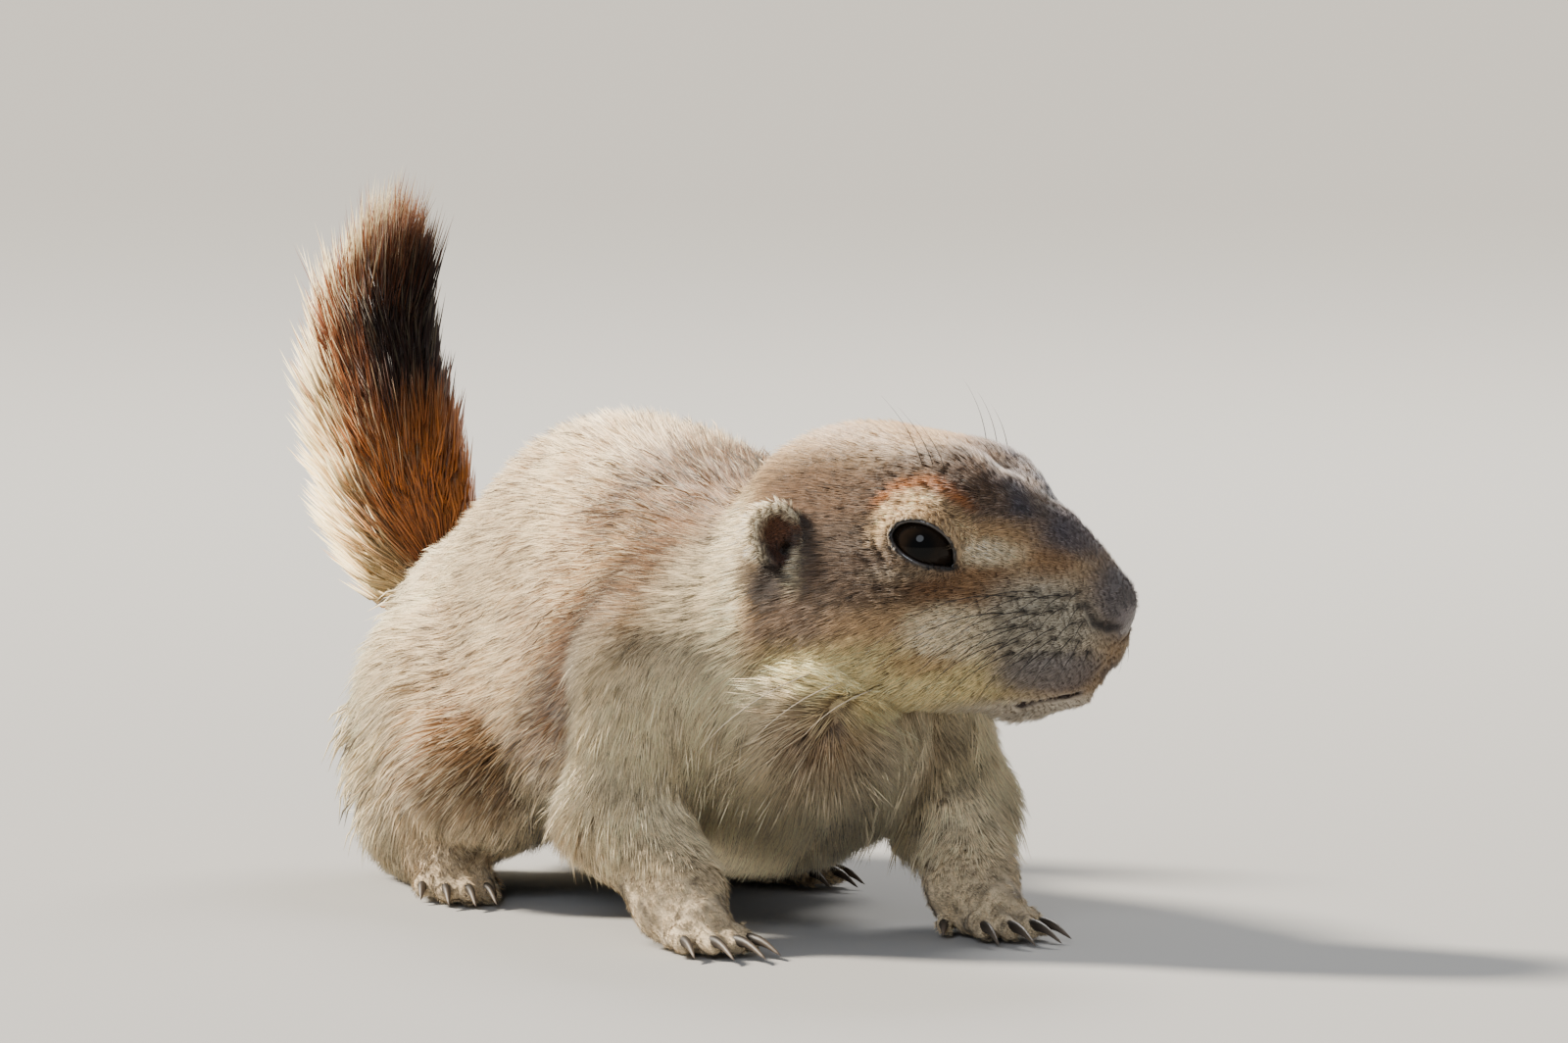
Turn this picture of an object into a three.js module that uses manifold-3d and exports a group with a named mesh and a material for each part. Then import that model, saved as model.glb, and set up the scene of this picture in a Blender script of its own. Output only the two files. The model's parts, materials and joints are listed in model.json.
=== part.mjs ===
// A black-tailed prairie dog, life size, crouched on all fours with its tail raised
// and its head turned to its left. Millimetres, +Z up, +X along the body towards the chest.
import * as THREE from "three";
import Module from "manifold-3d";

const wasm = await Module();
wasm.setup();

// Driving dimensions, out to the tips of the coat.
const HEAD_YAW = 42;
const HEAD_CENTRE = [62, 4, 70];
const EYE_RADIUS = 6.6;
const EYE_AT = [23.6, 15.2, -0.4];
const EAR_AT = [-1.4, 19.6, 0.4];
const TAIL_HALF_WIDTH = 15;
const TAIL_HALF_DEPTH = 10.5;
const GAP = 0.35;

const SIDES = [
  { name: "right", y: -1 },
  { name: "left", y: 1 },
];

// Field helpers: each gives about the distance from p to a surface, negative inside it.
const lerp = (a, b, t) => a + (b - a) * t;
const clamp = (v, lo, hi) => Math.min(hi, Math.max(lo, v));
const vec = (x, y, z) => new THREE.Vector3(x, y, z);
const mirrored = (p) => [p[0], Math.abs(p[1]), p[2]];

function egg(p, centre, semi) {
  const x = (p[0] - centre[0]) / semi[0];
  const y = (p[1] - centre[1]) / semi[1];
  const z = (p[2] - centre[2]) / semi[2];
  const k0 = Math.hypot(x, y, z);
  const k1 = Math.hypot(x / semi[0], y / semi[1], z / semi[2]);
  return k1 > 1e-9 ? (k0 * (k0 - 1)) / k1 : -Math.min(...semi);
}

function limb(p, a, b, ra, rb) {
  const bx = b[0] - a[0];
  const by = b[1] - a[1];
  const bz = b[2] - a[2];
  const px = p[0] - a[0];
  const py = p[1] - a[1];
  const pz = p[2] - a[2];
  const t = clamp((px * bx + py * by + pz * bz) / (bx * bx + by * by + bz * bz), 0, 1);
  return Math.hypot(px - bx * t, py - by * t, pz - bz * t) - lerp(ra, rb, t);
}

// A smooth union: it swells by up to a quarter of k along the crease.
function fuse(a, b, k) {
  const h = Math.max(k - Math.abs(a - b), 0) / k;
  return Math.min(a, b) - h * h * k * 0.25;
}

// The head's own frame: origin midway between the ears, +X to the nose, +Y to its left.
const headFrame = new THREE.Matrix4()
  .makeRotationZ(THREE.MathUtils.degToRad(HEAD_YAW))
  .setPosition(...HEAD_CENTRE);
const headInverse = headFrame.clone().invert();
const toHead = headInverse.elements;
const intoHead = (p) => [
  toHead[0] * p[0] + toHead[4] * p[1] + toHead[12],
  toHead[1] * p[0] + toHead[5] * p[1] + toHead[13],
  p[2] + toHead[14],
];
const fromHead = (q) => vec(...q).applyMatrix4(headFrame).toArray();

// Skull and forehead, cheeks, jowls, muzzle, lip pads, nose, lower jaw and brows.
function headShape(q) {
  const m = mirrored(q);
  let d = egg(q, [8, 0, -1], [25, 20, 21]);
  d = fuse(d, egg(m, [12, 12.5, -13], [22, 13, 17]), 8);
  d = fuse(d, egg(m, [29, 6.5, -17], [16, 11, 12.5]), 8);
  d = fuse(d, limb(q, [24, 0, -7], [42, 0, -12], 16.5, 12), 6);
  d = fuse(d, egg(m, [42, 5, -17.5], [10.5, 7.5, 7.5]), 5);
  d = fuse(d, egg(q, [50.5, 0, -10.5], [6, 5.2, 5.5]), 5);
  d = fuse(d, limb(q, [24, 0, -20.5], [41.5, 0, -24.8], 9, 4.4), 5);
  d = fuse(d, egg(q, [21, 0, 6], [12, 12, 8]), 6);
  d = fuse(d, limb(q, [22, 0, 3.5], [44, 0, -4], 10, 6.2), 5);
  d = fuse(d, egg(m, [24, 9, 8.8], [11, 8, 6.2]), 8);
  return d;
}
const headField = (p) => headShape(intoHead(p));

function trunkField(p) {
  let d = egg(p, [36, 0, 42], [46, 33, 34]);
  d = fuse(d, egg(p, [-9, 0, 50], [53, 27, 36.5]), 22);
  d = fuse(d, egg(p, [-12, 0, 32], [52, 32, 24]), 14);
  d = fuse(d, egg(p, [-45, 0, 38], [31, 25, 29]), 12);
  d = fuse(d, egg(mirrored(p), [-43, 21, 25], [31, 16, 23]), 8);
  d = fuse(d, egg(p, [-60, 0, 38], [33, 23, 25]), 8);
  return d;
}

const neckField = (p) => limb(p, [44, 0, 52], fromHead([-4, 0, -9]), 27, 17);

// One foreleg, as if on the left: shoulder to elbow to wrist, and the hand.
function forelegShape(m) {
  let d = limb(m, [50, 24, 44], [52, 31, 22], 15, 11);
  d = fuse(d, limb(m, [52, 31, 22], [68, 28, 10], 11, 8), 6);
  d = fuse(d, limb(m, [68, 28, 7.5], [78, 28, 4.6], 8, 5.6), 4);
  return d;
}

// One hind leg, as if on the left: thigh, shank and the long foot flat on the ground.
const hindfootShape = (m) => limb(m, [-54, 23, 7], [-14, 33, 4.6], 8, 6.2);
function hindlegShape(m) {
  let d = limb(m, [-46, 18, 36], [-12, 28, 22], 16, 12);
  d = fuse(d, limb(m, [-12, 28, 22], [-52, 23, 11], 12, 9), 8);
  return fuse(d, hindfootShape(m), 5);
}

// The lattice cell that each node is meshed on, smallest where the forms are finest.
const CELL = {
  torso: [12, 10, 10],
  neck: 8.5,
  head: 3.7,
  foreleg: 6.6,
  forefoot: 4.6,
  hindleg: 7.5,
  hindfoot: 6.5,
  cutter: 6.5,
  tailGuard: 5,
};

// How softly each form runs into the body, and so how far out the crease between them lies.
const BLEND = { neck: 10, head: 5, leg: 8 };

// The outline of the whole coat.
function bodyField(p) {
  const m = mirrored(p);
  let d = fuse(trunkField(p), neckField(p), BLEND.neck);
  d = fuse(d, headField(p), BLEND.head);
  d = fuse(d, forelegShape(m), BLEND.leg);
  d = fuse(d, hindlegShape(m), BLEND.leg);
  return d;
}

function solid(positions, faces) {
  const mesh = new wasm.Mesh({
    numProp: 3,
    vertProperties: new Float32Array(positions),
    triVerts: new Uint32Array(faces),
  });
  return new wasm.Manifold(mesh);
}

// Moves a point near the surface field(p) = level onto it, down the slope, then out by grow.
function settle(p, field, level, grow, reach) {
  let slope;
  let steep;
  for (let round = 0; round < 2; round++) {
    const f = field(p) - level;
    if (Math.abs(f) > reach) return p;
    slope = p.map((v, a) => {
      const q = [...p];
      q[a] += 0.02;
      return (field(q) - level - f) / 0.02;
    });
    steep = slope.reduce((sum, v) => sum + v * v, 1e-6);
    p = p.map((v, a) => v - (f * slope[a]) / steep);
  }
  return p.map((v, a) => v + (grow * slope[a]) / Math.sqrt(steep));
}

// A closed solid inside the surface where field(p) = level, within a box, by surface nets
// on a lattice with one cell size or one for each axis. It may be grown a little, facet by
// facet, so that a neighbour cut by it keeps clear of the one that it bounds.
function surface(field, low, high, size, level = 0, grow = 0) {
  const cell = Array.isArray(size) ? size : [size, size, size];
  const n = low.map((v, k) => Math.ceil((high[k] - v) / cell[k]) + 3);
  const at = (i, k) => low[k] + (i - 1) * cell[k];
  const depth = (p) => Math.max(...p.map((v, a) => Math.max(low[a] - v, v - high[a])));
  const value = new Float32Array(n[0] * n[1] * n[2]);
  const index = (i, j, k) => (k * n[1] + j) * n[0] + i;
  for (let k = 0; k < n[2]; k++)
    for (let j = 0; j < n[1]; j++)
      for (let i = 0; i < n[0]; i++) {
        const p = [at(i, 0), at(j, 1), at(k, 2)];
        value[index(i, j, k)] = Math.max(field(p) - level, depth(p) + 1e-4);
      }
  const positions = [];
  const faces = [];
  const vertexOf = new Int32Array(value.length).fill(-1);
  const corners = [0, 1, 2, 3, 4, 5, 6, 7].map((c) => [c & 1, (c >> 1) & 1, c >> 2]);
  for (let k = 0; k < n[2] - 1; k++)
    for (let j = 0; j < n[1] - 1; j++)
      for (let i = 0; i < n[0] - 1; i++) {
        const v = corners.map(([a, b, c]) => value[index(i + a, j + b, k + c)]);
        const sum = [0, 0, 0];
        let crossings = 0;
        for (let c = 0; c < 8; c++)
          for (let axis = 0; axis < 3; axis++) {
            const other = c | (1 << axis);
            if (other === c || v[c] < 0 === v[other] < 0) continue;
            const t = v[c] / (v[c] - v[other]);
            for (let a = 0; a < 3; a++) sum[a] += corners[c][a] + (a === axis ? t : 0);
            crossings++;
          }
        if (!crossings) continue;
        vertexOf[index(i, j, k)] = positions.length / 3;
        const p = [i, j, k].map((g, a) => at(g, a) + (sum[a] / crossings) * cell[a]);
        const free = depth(p) < -0.4 * cell[0];
        positions.push(...(free ? settle(p, field, level, grow, 0.4 * cell[0]) : p));
      }
  const step = [1, n[0], n[0] * n[1]];
  for (let k = 1; k < n[2] - 1; k++)
    for (let j = 1; j < n[1] - 1; j++)
      for (let i = 1; i < n[0] - 1; i++)
        for (let axis = 0; axis < 3; axis++) {
          const here = index(i, j, k);
          const inside = value[here] < 0;
          if (inside === value[here + step[axis]] < 0) continue;
          const u = step[(axis + 1) % 3];
          const w = step[(axis + 2) % 3];
          const quad = [here, here - u, here - u - w, here - w].map((g) => vertexOf[g]);
          if (!inside) quad.reverse();
          faces.push(quad[0], quad[1], quad[2], quad[0], quad[2], quad[3]);
        }
  return solid(positions, faces);
}

// A closed solid through rings of points; the last ring may be a single tip.
function loft(rings) {
  const faces = [];
  let start = 0;
  for (let r = 0; r + 1 < rings.length; r++) {
    const count = rings[r].length;
    const next = start + count;
    for (let i = 0; i < count; i++) {
      const j = (i + 1) % count;
      if (rings[r + 1].length === 1) faces.push(start + i, start + j, next);
      else faces.push(start + i, start + j, next + j, start + i, next + j, next + i);
    }
    start = next;
  }
  for (let i = 1; i + 1 < rings[0].length; i++) faces.push(0, i + 1, i);
  const last = rings[rings.length - 1].length;
  for (let i = 1; i + 1 < last; i++) faces.push(start, start + i, start + i + 1);
  return solid(rings.flat().flatMap((p) => p.toArray()), faces);
}

// A tube through stations { at, w, h }: half width w, half thickness h along the face
// direction; a station with w = 0 is a tip.
function tube(stations, face, sides) {
  const rings = stations.map(({ at, w, h }, i) => {
    if (w === 0) return [at];
    const before = stations[Math.max(i - 1, 0)].at;
    const after = stations[Math.min(i + 1, stations.length - 1)].at;
    const along = after.clone().sub(before).normalize();
    const out = face.clone().addScaledVector(along, -face.dot(along)).normalize();
    const across = out.clone().cross(along);
    return Array.from({ length: sides }, (_, s) => {
      const turn = (2 * Math.PI * s) / sides;
      return at
        .clone()
        .addScaledVector(across, w * Math.cos(turn))
        .addScaledVector(out, h * Math.sin(turn));
    });
  });
  return loft(rings);
}

// An ellipsoid solid with a matrix that places it.
function ellipsoid(semi, matrix, rows = 12) {
  const rings = [];
  for (let i = 1; i < rows; i++) {
    const polar = (Math.PI * i) / rows;
    rings.push(
      Array.from({ length: 2 * rows }, (_, s) => {
        const turn = (Math.PI * s) / rows;
        return vec(
          semi[0] * Math.sin(polar) * Math.cos(turn),
          semi[1] * Math.sin(polar) * Math.sin(turn),
          -semi[2] * Math.cos(polar),
        ).applyMatrix4(matrix);
      }),
    );
  }
  rings.push([vec(0, 0, semi[2]).applyMatrix4(matrix)]);
  return loft(rings);
}
const placed = (p) => new THREE.Matrix4().makeTranslation(...p);

function largest(shape) {
  const pieces = shape.decompose();
  return pieces.reduce((a, b) => (a.volume() > b.volume() ? a : b));
}

// Solids that part the body; each is a little larger by `extra` where a neighbour is cut clear.
const LEG_CREASE = BLEND.leg / 4;
const HEAD_CREASE = BLEND.head / 4;
// A facet lies a little inside the surface, so a gap is made this much wider than asked.
const CLEAR = 1.15;
const oneSide = (shape, y) => (p) => shape([p[0], p[1] * y, p[2]]);

const NAPE_PLANE = { at: [-9, 0, 5], normal: vec(0.965, 0, 0.263).normalize() };
function headZone(extra) {
  const low = [28, -38, 22];
  const high = [124, 64, 104];
  const zone = surface(headField, low, high, CELL.cutter, HEAD_CREASE, CLEAR * extra);
  const normal = NAPE_PLANE.normal.clone().transformDirection(headFrame);
  const offset = normal.dot(vec(...fromHead(NAPE_PLANE.at))) - extra;
  return zone.trimByPlane(normal.toArray(), offset);
}

// The neck is what lies within a ball around the nape.
const NECK_BALL = { at: [-2, 0, -9], r: 30 };
function neckZone(extra) {
  const r = NECK_BALL.r + extra;
  return ellipsoid([r, r, r], placed(fromHead(NECK_BALL.at)), 9);
}

const WRIST = { at: vec(64.5, 28.5, 12.6), normal: vec(0.79, -0.15, -0.59).normalize() };
function forelegZone(side, extra) {
  const low = [30, side.y > 0 ? 4 : -52, -6];
  const high = [92, side.y > 0 ? 52 : -4, 66];
  const shape = oneSide(forelegShape, side.y);
  return surface(shape, low, high, CELL.cutter, LEG_CREASE, CLEAR * extra);
}

// The top of the hind foot, sloping down a little to the toes.
const INSTEP = { at: vec(-54, 23, 13.5), normal: vec(0.07, 0, 1).normalize() };
const HAUNCH = { at: [-32, 27, 25], semi: [33, 22, 25] };
function hindlegZone(side, extra) {
  const low = [-78, side.y > 0 ? 2 : -56, -12];
  const high = [8, side.y > 0 ? 56 : -2, 30];
  const shape = oneSide(hindfootShape, side.y);
  const foot = surface(shape, low, high, CELL.cutter, LEG_CREASE, CLEAR * extra);
  const centre = placed([HAUNCH.at[0], HAUNCH.at[1] * side.y, HAUNCH.at[2]]);
  return foot.add(ellipsoid(HAUNCH.semi.map((v) => v + extra), centre, 8));
}

// Keeps what lies on the side of the plane that its normal points to, less `back`.
function beyond(shape, plane, side, back, flip = 1) {
  const normal = vec(plane.normal.x, plane.normal.y * side.y, plane.normal.z);
  const point = vec(plane.at.x, plane.at.y * side.y, plane.at.z);
  normal.multiplyScalar(flip);
  return shape.trimByPlane(normal.toArray(), normal.dot(point) + back);
}

const FLOOR = [[0, 0, 1], 0];

function makeForeleg(side) {
  const low = [30, side.y > 0 ? 4 : -52, 0];
  const high = [80, side.y > 0 ? 52 : -4, 66];
  const body = surface(bodyField, low, high, CELL.foreleg);
  let leg = body.intersect(forelegZone(side, 0)).subtract(headZone(GAP));
  leg = beyond(leg, WRIST, side, 0, -1);
  return largest(leg);
}

function makeHindleg(side) {
  const low = [-84, side.y > 0 ? 0 : -60, -4];
  const high = [10, side.y > 0 ? 60 : 0, 66];
  const body = surface(bodyField, low, high, CELL.hindleg);
  const leg = body.intersect(hindlegZone(side, 0));
  return largest(beyond(leg, INSTEP, side, 0));
}

// One toe and its claw from a base point: a thick rounded digit, then a curved tapering claw.
function digit({ base, heading, length, radius, claw }) {
  const turn = THREE.MathUtils.degToRad(heading);
  const along = vec(Math.cos(turn), Math.sin(turn), 0);
  const up = vec(0, 0, 1);
  const at = (s, rise) => base.clone().addScaledVector(along, s).addScaledVector(up, rise);
  const toe = tube(
    [
      { at: at(-4, 0), w: radius, h: radius },
      { at: at(length * 0.6, radius * 0.3), w: radius, h: radius },
      { at: at(length, -radius * 0.25), w: radius * 0.65, h: radius * 0.6 },
    ],
    up,
    6,
  );
  const nail = tube(
    [
      { at: at(length * 0.75, 0.3), w: 1, h: 1.2 },
      { at: at(length + claw * 0.4, 0.35), w: 0.85, h: 1.1 },
      { at: at(length + claw * 0.75, -0.35 * radius), w: 0.55, h: 0.7 },
      { at: at(length + claw, -0.75 * radius), w: 0 },
    ],
    up,
    4,
  );
  return toe.add(nail);
}

// Each toe: how far out and back its root lies from the end of the palm or sole, where it
// heads, in degrees, how long and thick it is, and how far its claw stands out.
const TOE_LIFT = 0.2;
const PALM_END = { x: 79, y: 28 };
const FORE_TOES = [
  { out: -7.2, back: 7, heading: -28, length: 2.6, radius: 1.5, claw: 3.5 },
  { out: -4.6, back: 0.8, heading: -10, length: 8, radius: 2.1, claw: 8 },
  { out: -1.5, back: 0, heading: -3, length: 10, radius: 2.3, claw: 9.5 },
  { out: 1.7, back: 0, heading: 4, length: 9.5, radius: 2.3, claw: 9 },
  { out: 4.7, back: 1.6, heading: 12, length: 7, radius: 2.1, claw: 7.5 },
];
function makeForefoot(side) {
  const y = (v) => v * side.y;
  const low = [56, side.y > 0 ? 10 : -50, -4];
  const high = [92, side.y > 0 ? 50 : -10, 26];
  let foot = surface(bodyField, low, high, CELL.forefoot).intersect(forelegZone(side, 0));
  foot = beyond(foot, WRIST, side, GAP);
  for (const toe of FORE_TOES) {
    const base = vec(PALM_END.x - toe.back, y(PALM_END.y + toe.out), toe.radius + TOE_LIFT);
    foot = foot.add(digit({ ...toe, base, heading: y(toe.heading) }));
  }
  return largest(foot.trimByPlane(...FLOOR));
}

const HIND_FOOT_TURN = 14;
const SOLE_END = { x: -13, y: 33.2 };
const HIND_TOES = [
  { out: -5.4, back: 6, heading: -12, length: 4.5, radius: 1.8, claw: 4 },
  { out: -3, back: 1, heading: -5, length: 9, radius: 2.3, claw: 5.5 },
  { out: -0.1, back: 0, heading: 0, length: 10, radius: 2.4, claw: 6 },
  { out: 2.9, back: 1.2, heading: 5, length: 8.5, radius: 2.3, claw: 5.5 },
  { out: 5.4, back: 6, heading: 13, length: 4.5, radius: 1.9, claw: 4.5 },
];
function makeHindfoot(side) {
  const low = [-84, side.y > 0 ? 0 : -60, -4];
  const high = [4, side.y > 0 ? 60 : 0, 22];
  let foot = surface(bodyField, low, high, CELL.hindfoot).intersect(hindlegZone(side, 0));
  foot = beyond(foot, INSTEP, side, GAP, -1);
  const turn = THREE.MathUtils.degToRad(HIND_FOOT_TURN);
  for (const toe of HIND_TOES) {
    const x = SOLE_END.x - toe.back * Math.cos(turn) - toe.out * Math.sin(turn);
    const y = SOLE_END.y - toe.back * Math.sin(turn) + toe.out * Math.cos(turn);
    const base = vec(x, y * side.y, toe.radius + TOE_LIFT);
    const heading = (toe.heading + HIND_FOOT_TURN) * side.y;
    foot = foot.add(digit({ ...toe, base, heading }));
  }
  return largest(foot.trimByPlane(...FLOOR));
}

// The eyes look outwards and a little forwards; the slit between the lids dips to the nose.
const OUTWARD = vec(0.3, 0.95, 0.08).normalize();
const LID_TILT = 23;
const LID_THICKNESS = 1.2;
const EYE_SLIT = { semi: [5.9, 3.7, 6], slide: 5.5 };

// A frame at an eye: X along the slit towards the nose, Z out of the eye, in the head's frame.
function eyeFrame(side, slide) {
  const out = vec(OUTWARD.x, OUTWARD.y * side.y, OUTWARD.z);
  const tilt = THREE.MathUtils.degToRad(LID_TILT);
  const along = vec(Math.cos(tilt), 0, -Math.sin(tilt));
  along.addScaledVector(out, -along.dot(out)).normalize();
  const third = out.clone().cross(along);
  const at = vec(EYE_AT[0], EYE_AT[1] * side.y, EYE_AT[2]).addScaledVector(out, slide);
  const local = new THREE.Matrix4().makeBasis(along, third, out).setPosition(at);
  return headFrame.clone().multiply(local);
}

function makeEye(side) {
  const r = EYE_RADIUS;
  return ellipsoid([r, r, r], eyeFrame(side, 0), 7);
}

// Where the ray from q along dir, both in the head's frame, leaves the head.
function onHead(q, dir, lift = 0) {
  let near = 0;
  let far = 40;
  for (let i = 0; i < 30; i++) {
    const mid = (near + far) / 2;
    if (headShape(q.map((v, k) => v + dir[k] * mid)) < 0) near = mid;
    else far = mid;
  }
  return vec(...q.map((v, k) => v + dir[k] * (near + lift)));
}

// The line where the lips meet, as points on the muzzle from the right corner to the left.
const MOUTH_FRONT = -25;
const MOUTH_CORNER = -27.9;
const MOUTH_SWEEP = 96;
function mouthLine(lift, drop) {
  const count = 11;
  return Array.from({ length: count }, (_, i) => {
    const s = (2 * i) / (count - 1) - 1;
    const turn = THREE.MathUtils.degToRad(s * MOUTH_SWEEP);
    const z = lerp(MOUTH_FRONT, MOUTH_CORNER, Math.abs(s) ** 1.4) + drop;
    return onHead([38, 0, z], [Math.cos(turn), Math.sin(turn), 0], lift);
  });
}

function headTube(points, radius, face, sides) {
  const last = points.length - 1;
  const stations = points.map((p, i) => {
    const r = i === 0 || i === last ? radius * 0.5 : radius;
    return { at: p.clone().applyMatrix4(headFrame), w: r, h: r };
  });
  return tube(stations, face, sides);
}

// Each lip is a roll along the mouth line, and the mouth is the groove between the two.
const UPPER_LIP = { lift: -1.7, drop: 1.9, radius: 2.2 };
const LOWER_LIP = { lift: -1.6, drop: -1.7, radius: 2 };
const MOUTH_GROOVE = { lift: 0.15, drop: 0, radius: 0.8 };
const alongMouth = ({ lift, drop, radius }, sides) =>
  headTube(mouthLine(lift, drop), radius, vec(0, 0, 1), sides);

// A nostril is a curved slit round the wing of the nose, from its top to below the tip.
const NOSTRIL_RADIUS = 0.75;
function nostril(side) {
  const slit = [
    onHead([50, 0, -11.5], [0, side.y, 0], 0.1),
    onHead([48, 0, -13], [0.4, side.y, -0.3], 0),
    onHead([48, 0, -13], [1, side.y * 0.62, -0.45], -0.3),
    onHead([48, 0, -13], [1, side.y * 0.3, -0.45], 0.2),
  ];
  return headTube(slit, NOSTRIL_RADIUS, vec(0, 0, 1), 5);
}

// The head with its lids and lips, and the cuts for eyes, mouth, nostrils and ears.
function makeHead() {
  const lid = EYE_RADIUS + LID_THICKNESS;
  const socket = EYE_RADIUS + GAP;
  const body = surface(bodyField, [38, -30, 30], [112, 56, 98], CELL.head);
  let head = body.intersect(headZone(0));
  head = head.add(alongMouth(UPPER_LIP, 6)).add(alongMouth(LOWER_LIP, 6));
  for (const side of SIDES) {
    head = head.add(ellipsoid([lid, lid, lid], eyeFrame(side, 0), 7));
  }
  for (const side of SIDES) {
    head = head.subtract(ellipsoid([socket, socket, socket], eyeFrame(side, 0), 7));
    head = head.subtract(ellipsoid(EYE_SLIT.semi, eyeFrame(side, EYE_SLIT.slide), 6));
    head = head.subtract(nostril(side)).subtract(earFlap(side, GAP));
  }
  return largest(head.subtract(alongMouth(MOUTH_GROOVE, 5)));
}

// A frame at an ear: Y up along the flap, Z out of its cup.
function earFrame(side, slide) {
  const out = vec(0.3, 0.94 * side.y, 0.12).normalize();
  const up = vec(-0.16, 0, 1);
  up.addScaledVector(out, -up.dot(out)).normalize();
  const across = up.clone().cross(out);
  const at = vec(EAR_AT[0], EAR_AT[1] * side.y, EAR_AT[2]).addScaledVector(out, slide);
  return headFrame.clone().multiply(new THREE.Matrix4().makeBasis(across, up, out).setPosition(at));
}
const EAR_FLAP = [4.8, 5.9, 3.6];
const EAR_CUP = { semi: [3.5, 4.5, 4], slide: 2.8 };
const earFlap = (side, extra) =>
  ellipsoid(EAR_FLAP.map((v) => v + extra), earFrame(side, 0), 6);

// A small round flap with a cup that opens outwards and forwards, sunk in the head.
function makeEar(side) {
  const cup = ellipsoid(EAR_CUP.semi, earFrame(side, EAR_CUP.slide), 6);
  return largest(earFlap(side, 0).subtract(cup));
}

// The tail's middle line, from inside the rump to its tip.
const tailCurve = new THREE.CatmullRomCurve3([
  vec(-76, 0, 40),
  vec(-92, -0.5, 46),
  vec(-103, -2, 56),
  vec(-110, -4, 70),
  vec(-115, -4.5, 85),
  vec(-113, -3.5, 100),
]);
const TAIL_LENGTH = tailCurve.getLength();
const sideways = vec(0, 1, 0);

// A point on the tail's middle line, going on straight past its end, and its direction.
function alongTail(s) {
  const u = clamp(s, 0, 1);
  const along = tailCurve.getTangentAt(u);
  const at = tailCurve.getPointAt(u).addScaledVector(along, (s - u) * TAIL_LENGTH);
  return { at, along, up: along.clone().cross(sideways) };
}

const CORE_STEPS = 8;
const CORE_HALF_WIDTH = 6.8;
const CORE_HALF_DEPTH = 5;
function tailCore(extra) {
  const stations = [];
  for (let i = 0; i <= CORE_STEPS; i++) {
    const s = i / CORE_STEPS - (i === 0 ? extra / TAIL_LENGTH : 0);
    const swell = 1.12 - 0.2 * s - 0.5 * s ** 4;
    const w = CORE_HALF_WIDTH * swell + extra;
    const h = CORE_HALF_DEPTH * swell + extra;
    stations.push({ at: alongTail(s).at, w, h });
  }
  return tube(stations, vec(-0.7, 0, 0.7), 8);
}

// Seeded draws in [0, 1), so that every build is the same.
function makeRandom(seed) {
  let state = seed;
  return () => {
    state = (Math.imul(state, 1664525) + 1013904223) >>> 0;
    return state / 4294967296;
  };
}

// How far out the brush reaches at s along the tail, as a share of its greatest half width.
const BRUSH_FROM = 0.2;
const BRUSH_WIDEST = 0.76;
const BRUSH_END = 1.26;
function brushReach(s) {
  const rise = THREE.MathUtils.smoothstep(s, 0.3, 0.58);
  const fall = Math.max(0, (s - BRUSH_WIDEST) / (BRUSH_END - BRUSH_WIDEST));
  return (0.56 + 0.44 * rise) * Math.sqrt(Math.max(0, 1 - fall * fall));
}

// One flat, tapering lock that leaves the core at a slant and bends along the tail.
const LOCK_STEPS = 3;
const LOCK_HALF_WIDTH = 4;
const LOCK_HALF_THICKNESS = 1.1;
function lock(s, angle, length) {
  const tip = s + length / TAIL_LENGTH;
  const stations = [];
  for (let i = 0; i <= LOCK_STEPS; i++) {
    const t = i / LOCK_STEPS;
    const { at, up } = alongTail(lerp(s, tip, t));
    const out = sideways.clone().multiplyScalar(Math.cos(angle) * TAIL_HALF_WIDTH);
    out.addScaledVector(up, Math.sin(angle) * TAIL_HALF_DEPTH);
    const reach = lerp(0.2, brushReach(tip), Math.sin((Math.PI / 2) * t) ** 0.9);
    const taper = i === LOCK_STEPS ? 0 : 1 - 0.8 * t * t;
    at.addScaledVector(out, reach);
    stations.push({ at, w: LOCK_HALF_WIDTH * taper, h: LOCK_HALF_THICKNESS * taper });
  }
  const { up } = alongTail(s);
  const face = sideways.clone().multiplyScalar(Math.cos(angle) / TAIL_HALF_WIDTH);
  face.addScaledVector(up, Math.sin(angle) / TAIL_HALF_DEPTH);
  return tube(stations, face, 4);
}

// Rings of locks from near the root to the tip, each ring turned half a lock from the last.
const LOCK_RINGS = 9;
const LOCKS_A_RING = 6;
const LOCKS_AT_TIP = 5;
const LOCK_LENGTH = [17, 23];
const LAST_RING = 0.98;
const LOCK_SEED = 7;
function wholeTail() {
  const random = makeRandom(LOCK_SEED);
  const locks = [];
  for (let ring = 0; ring < LOCK_RINGS; ring++) {
    const s = lerp(BRUSH_FROM, LAST_RING, ring / (LOCK_RINGS - 1));
    const count = ring === LOCK_RINGS - 1 ? LOCKS_AT_TIP : LOCKS_A_RING;
    for (let i = 0; i < count; i++) {
      const angle = (2 * Math.PI * (i + 0.5 * (ring % 2) + 0.35 * (random() - 0.5))) / count;
      const room = (BRUSH_END - 0.01 - s) * TAIL_LENGTH;
      locks.push(lock(s, angle, Math.min(lerp(...LOCK_LENGTH, random()), room)));
    }
  }
  const rump = surface(bodyField, [-104, -24, 12], [-60, 24, 78], CELL.tailGuard, 2 * GAP);
  return tailCore(0).add(wasm.Manifold.union(locks).subtract(rump));
}

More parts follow.
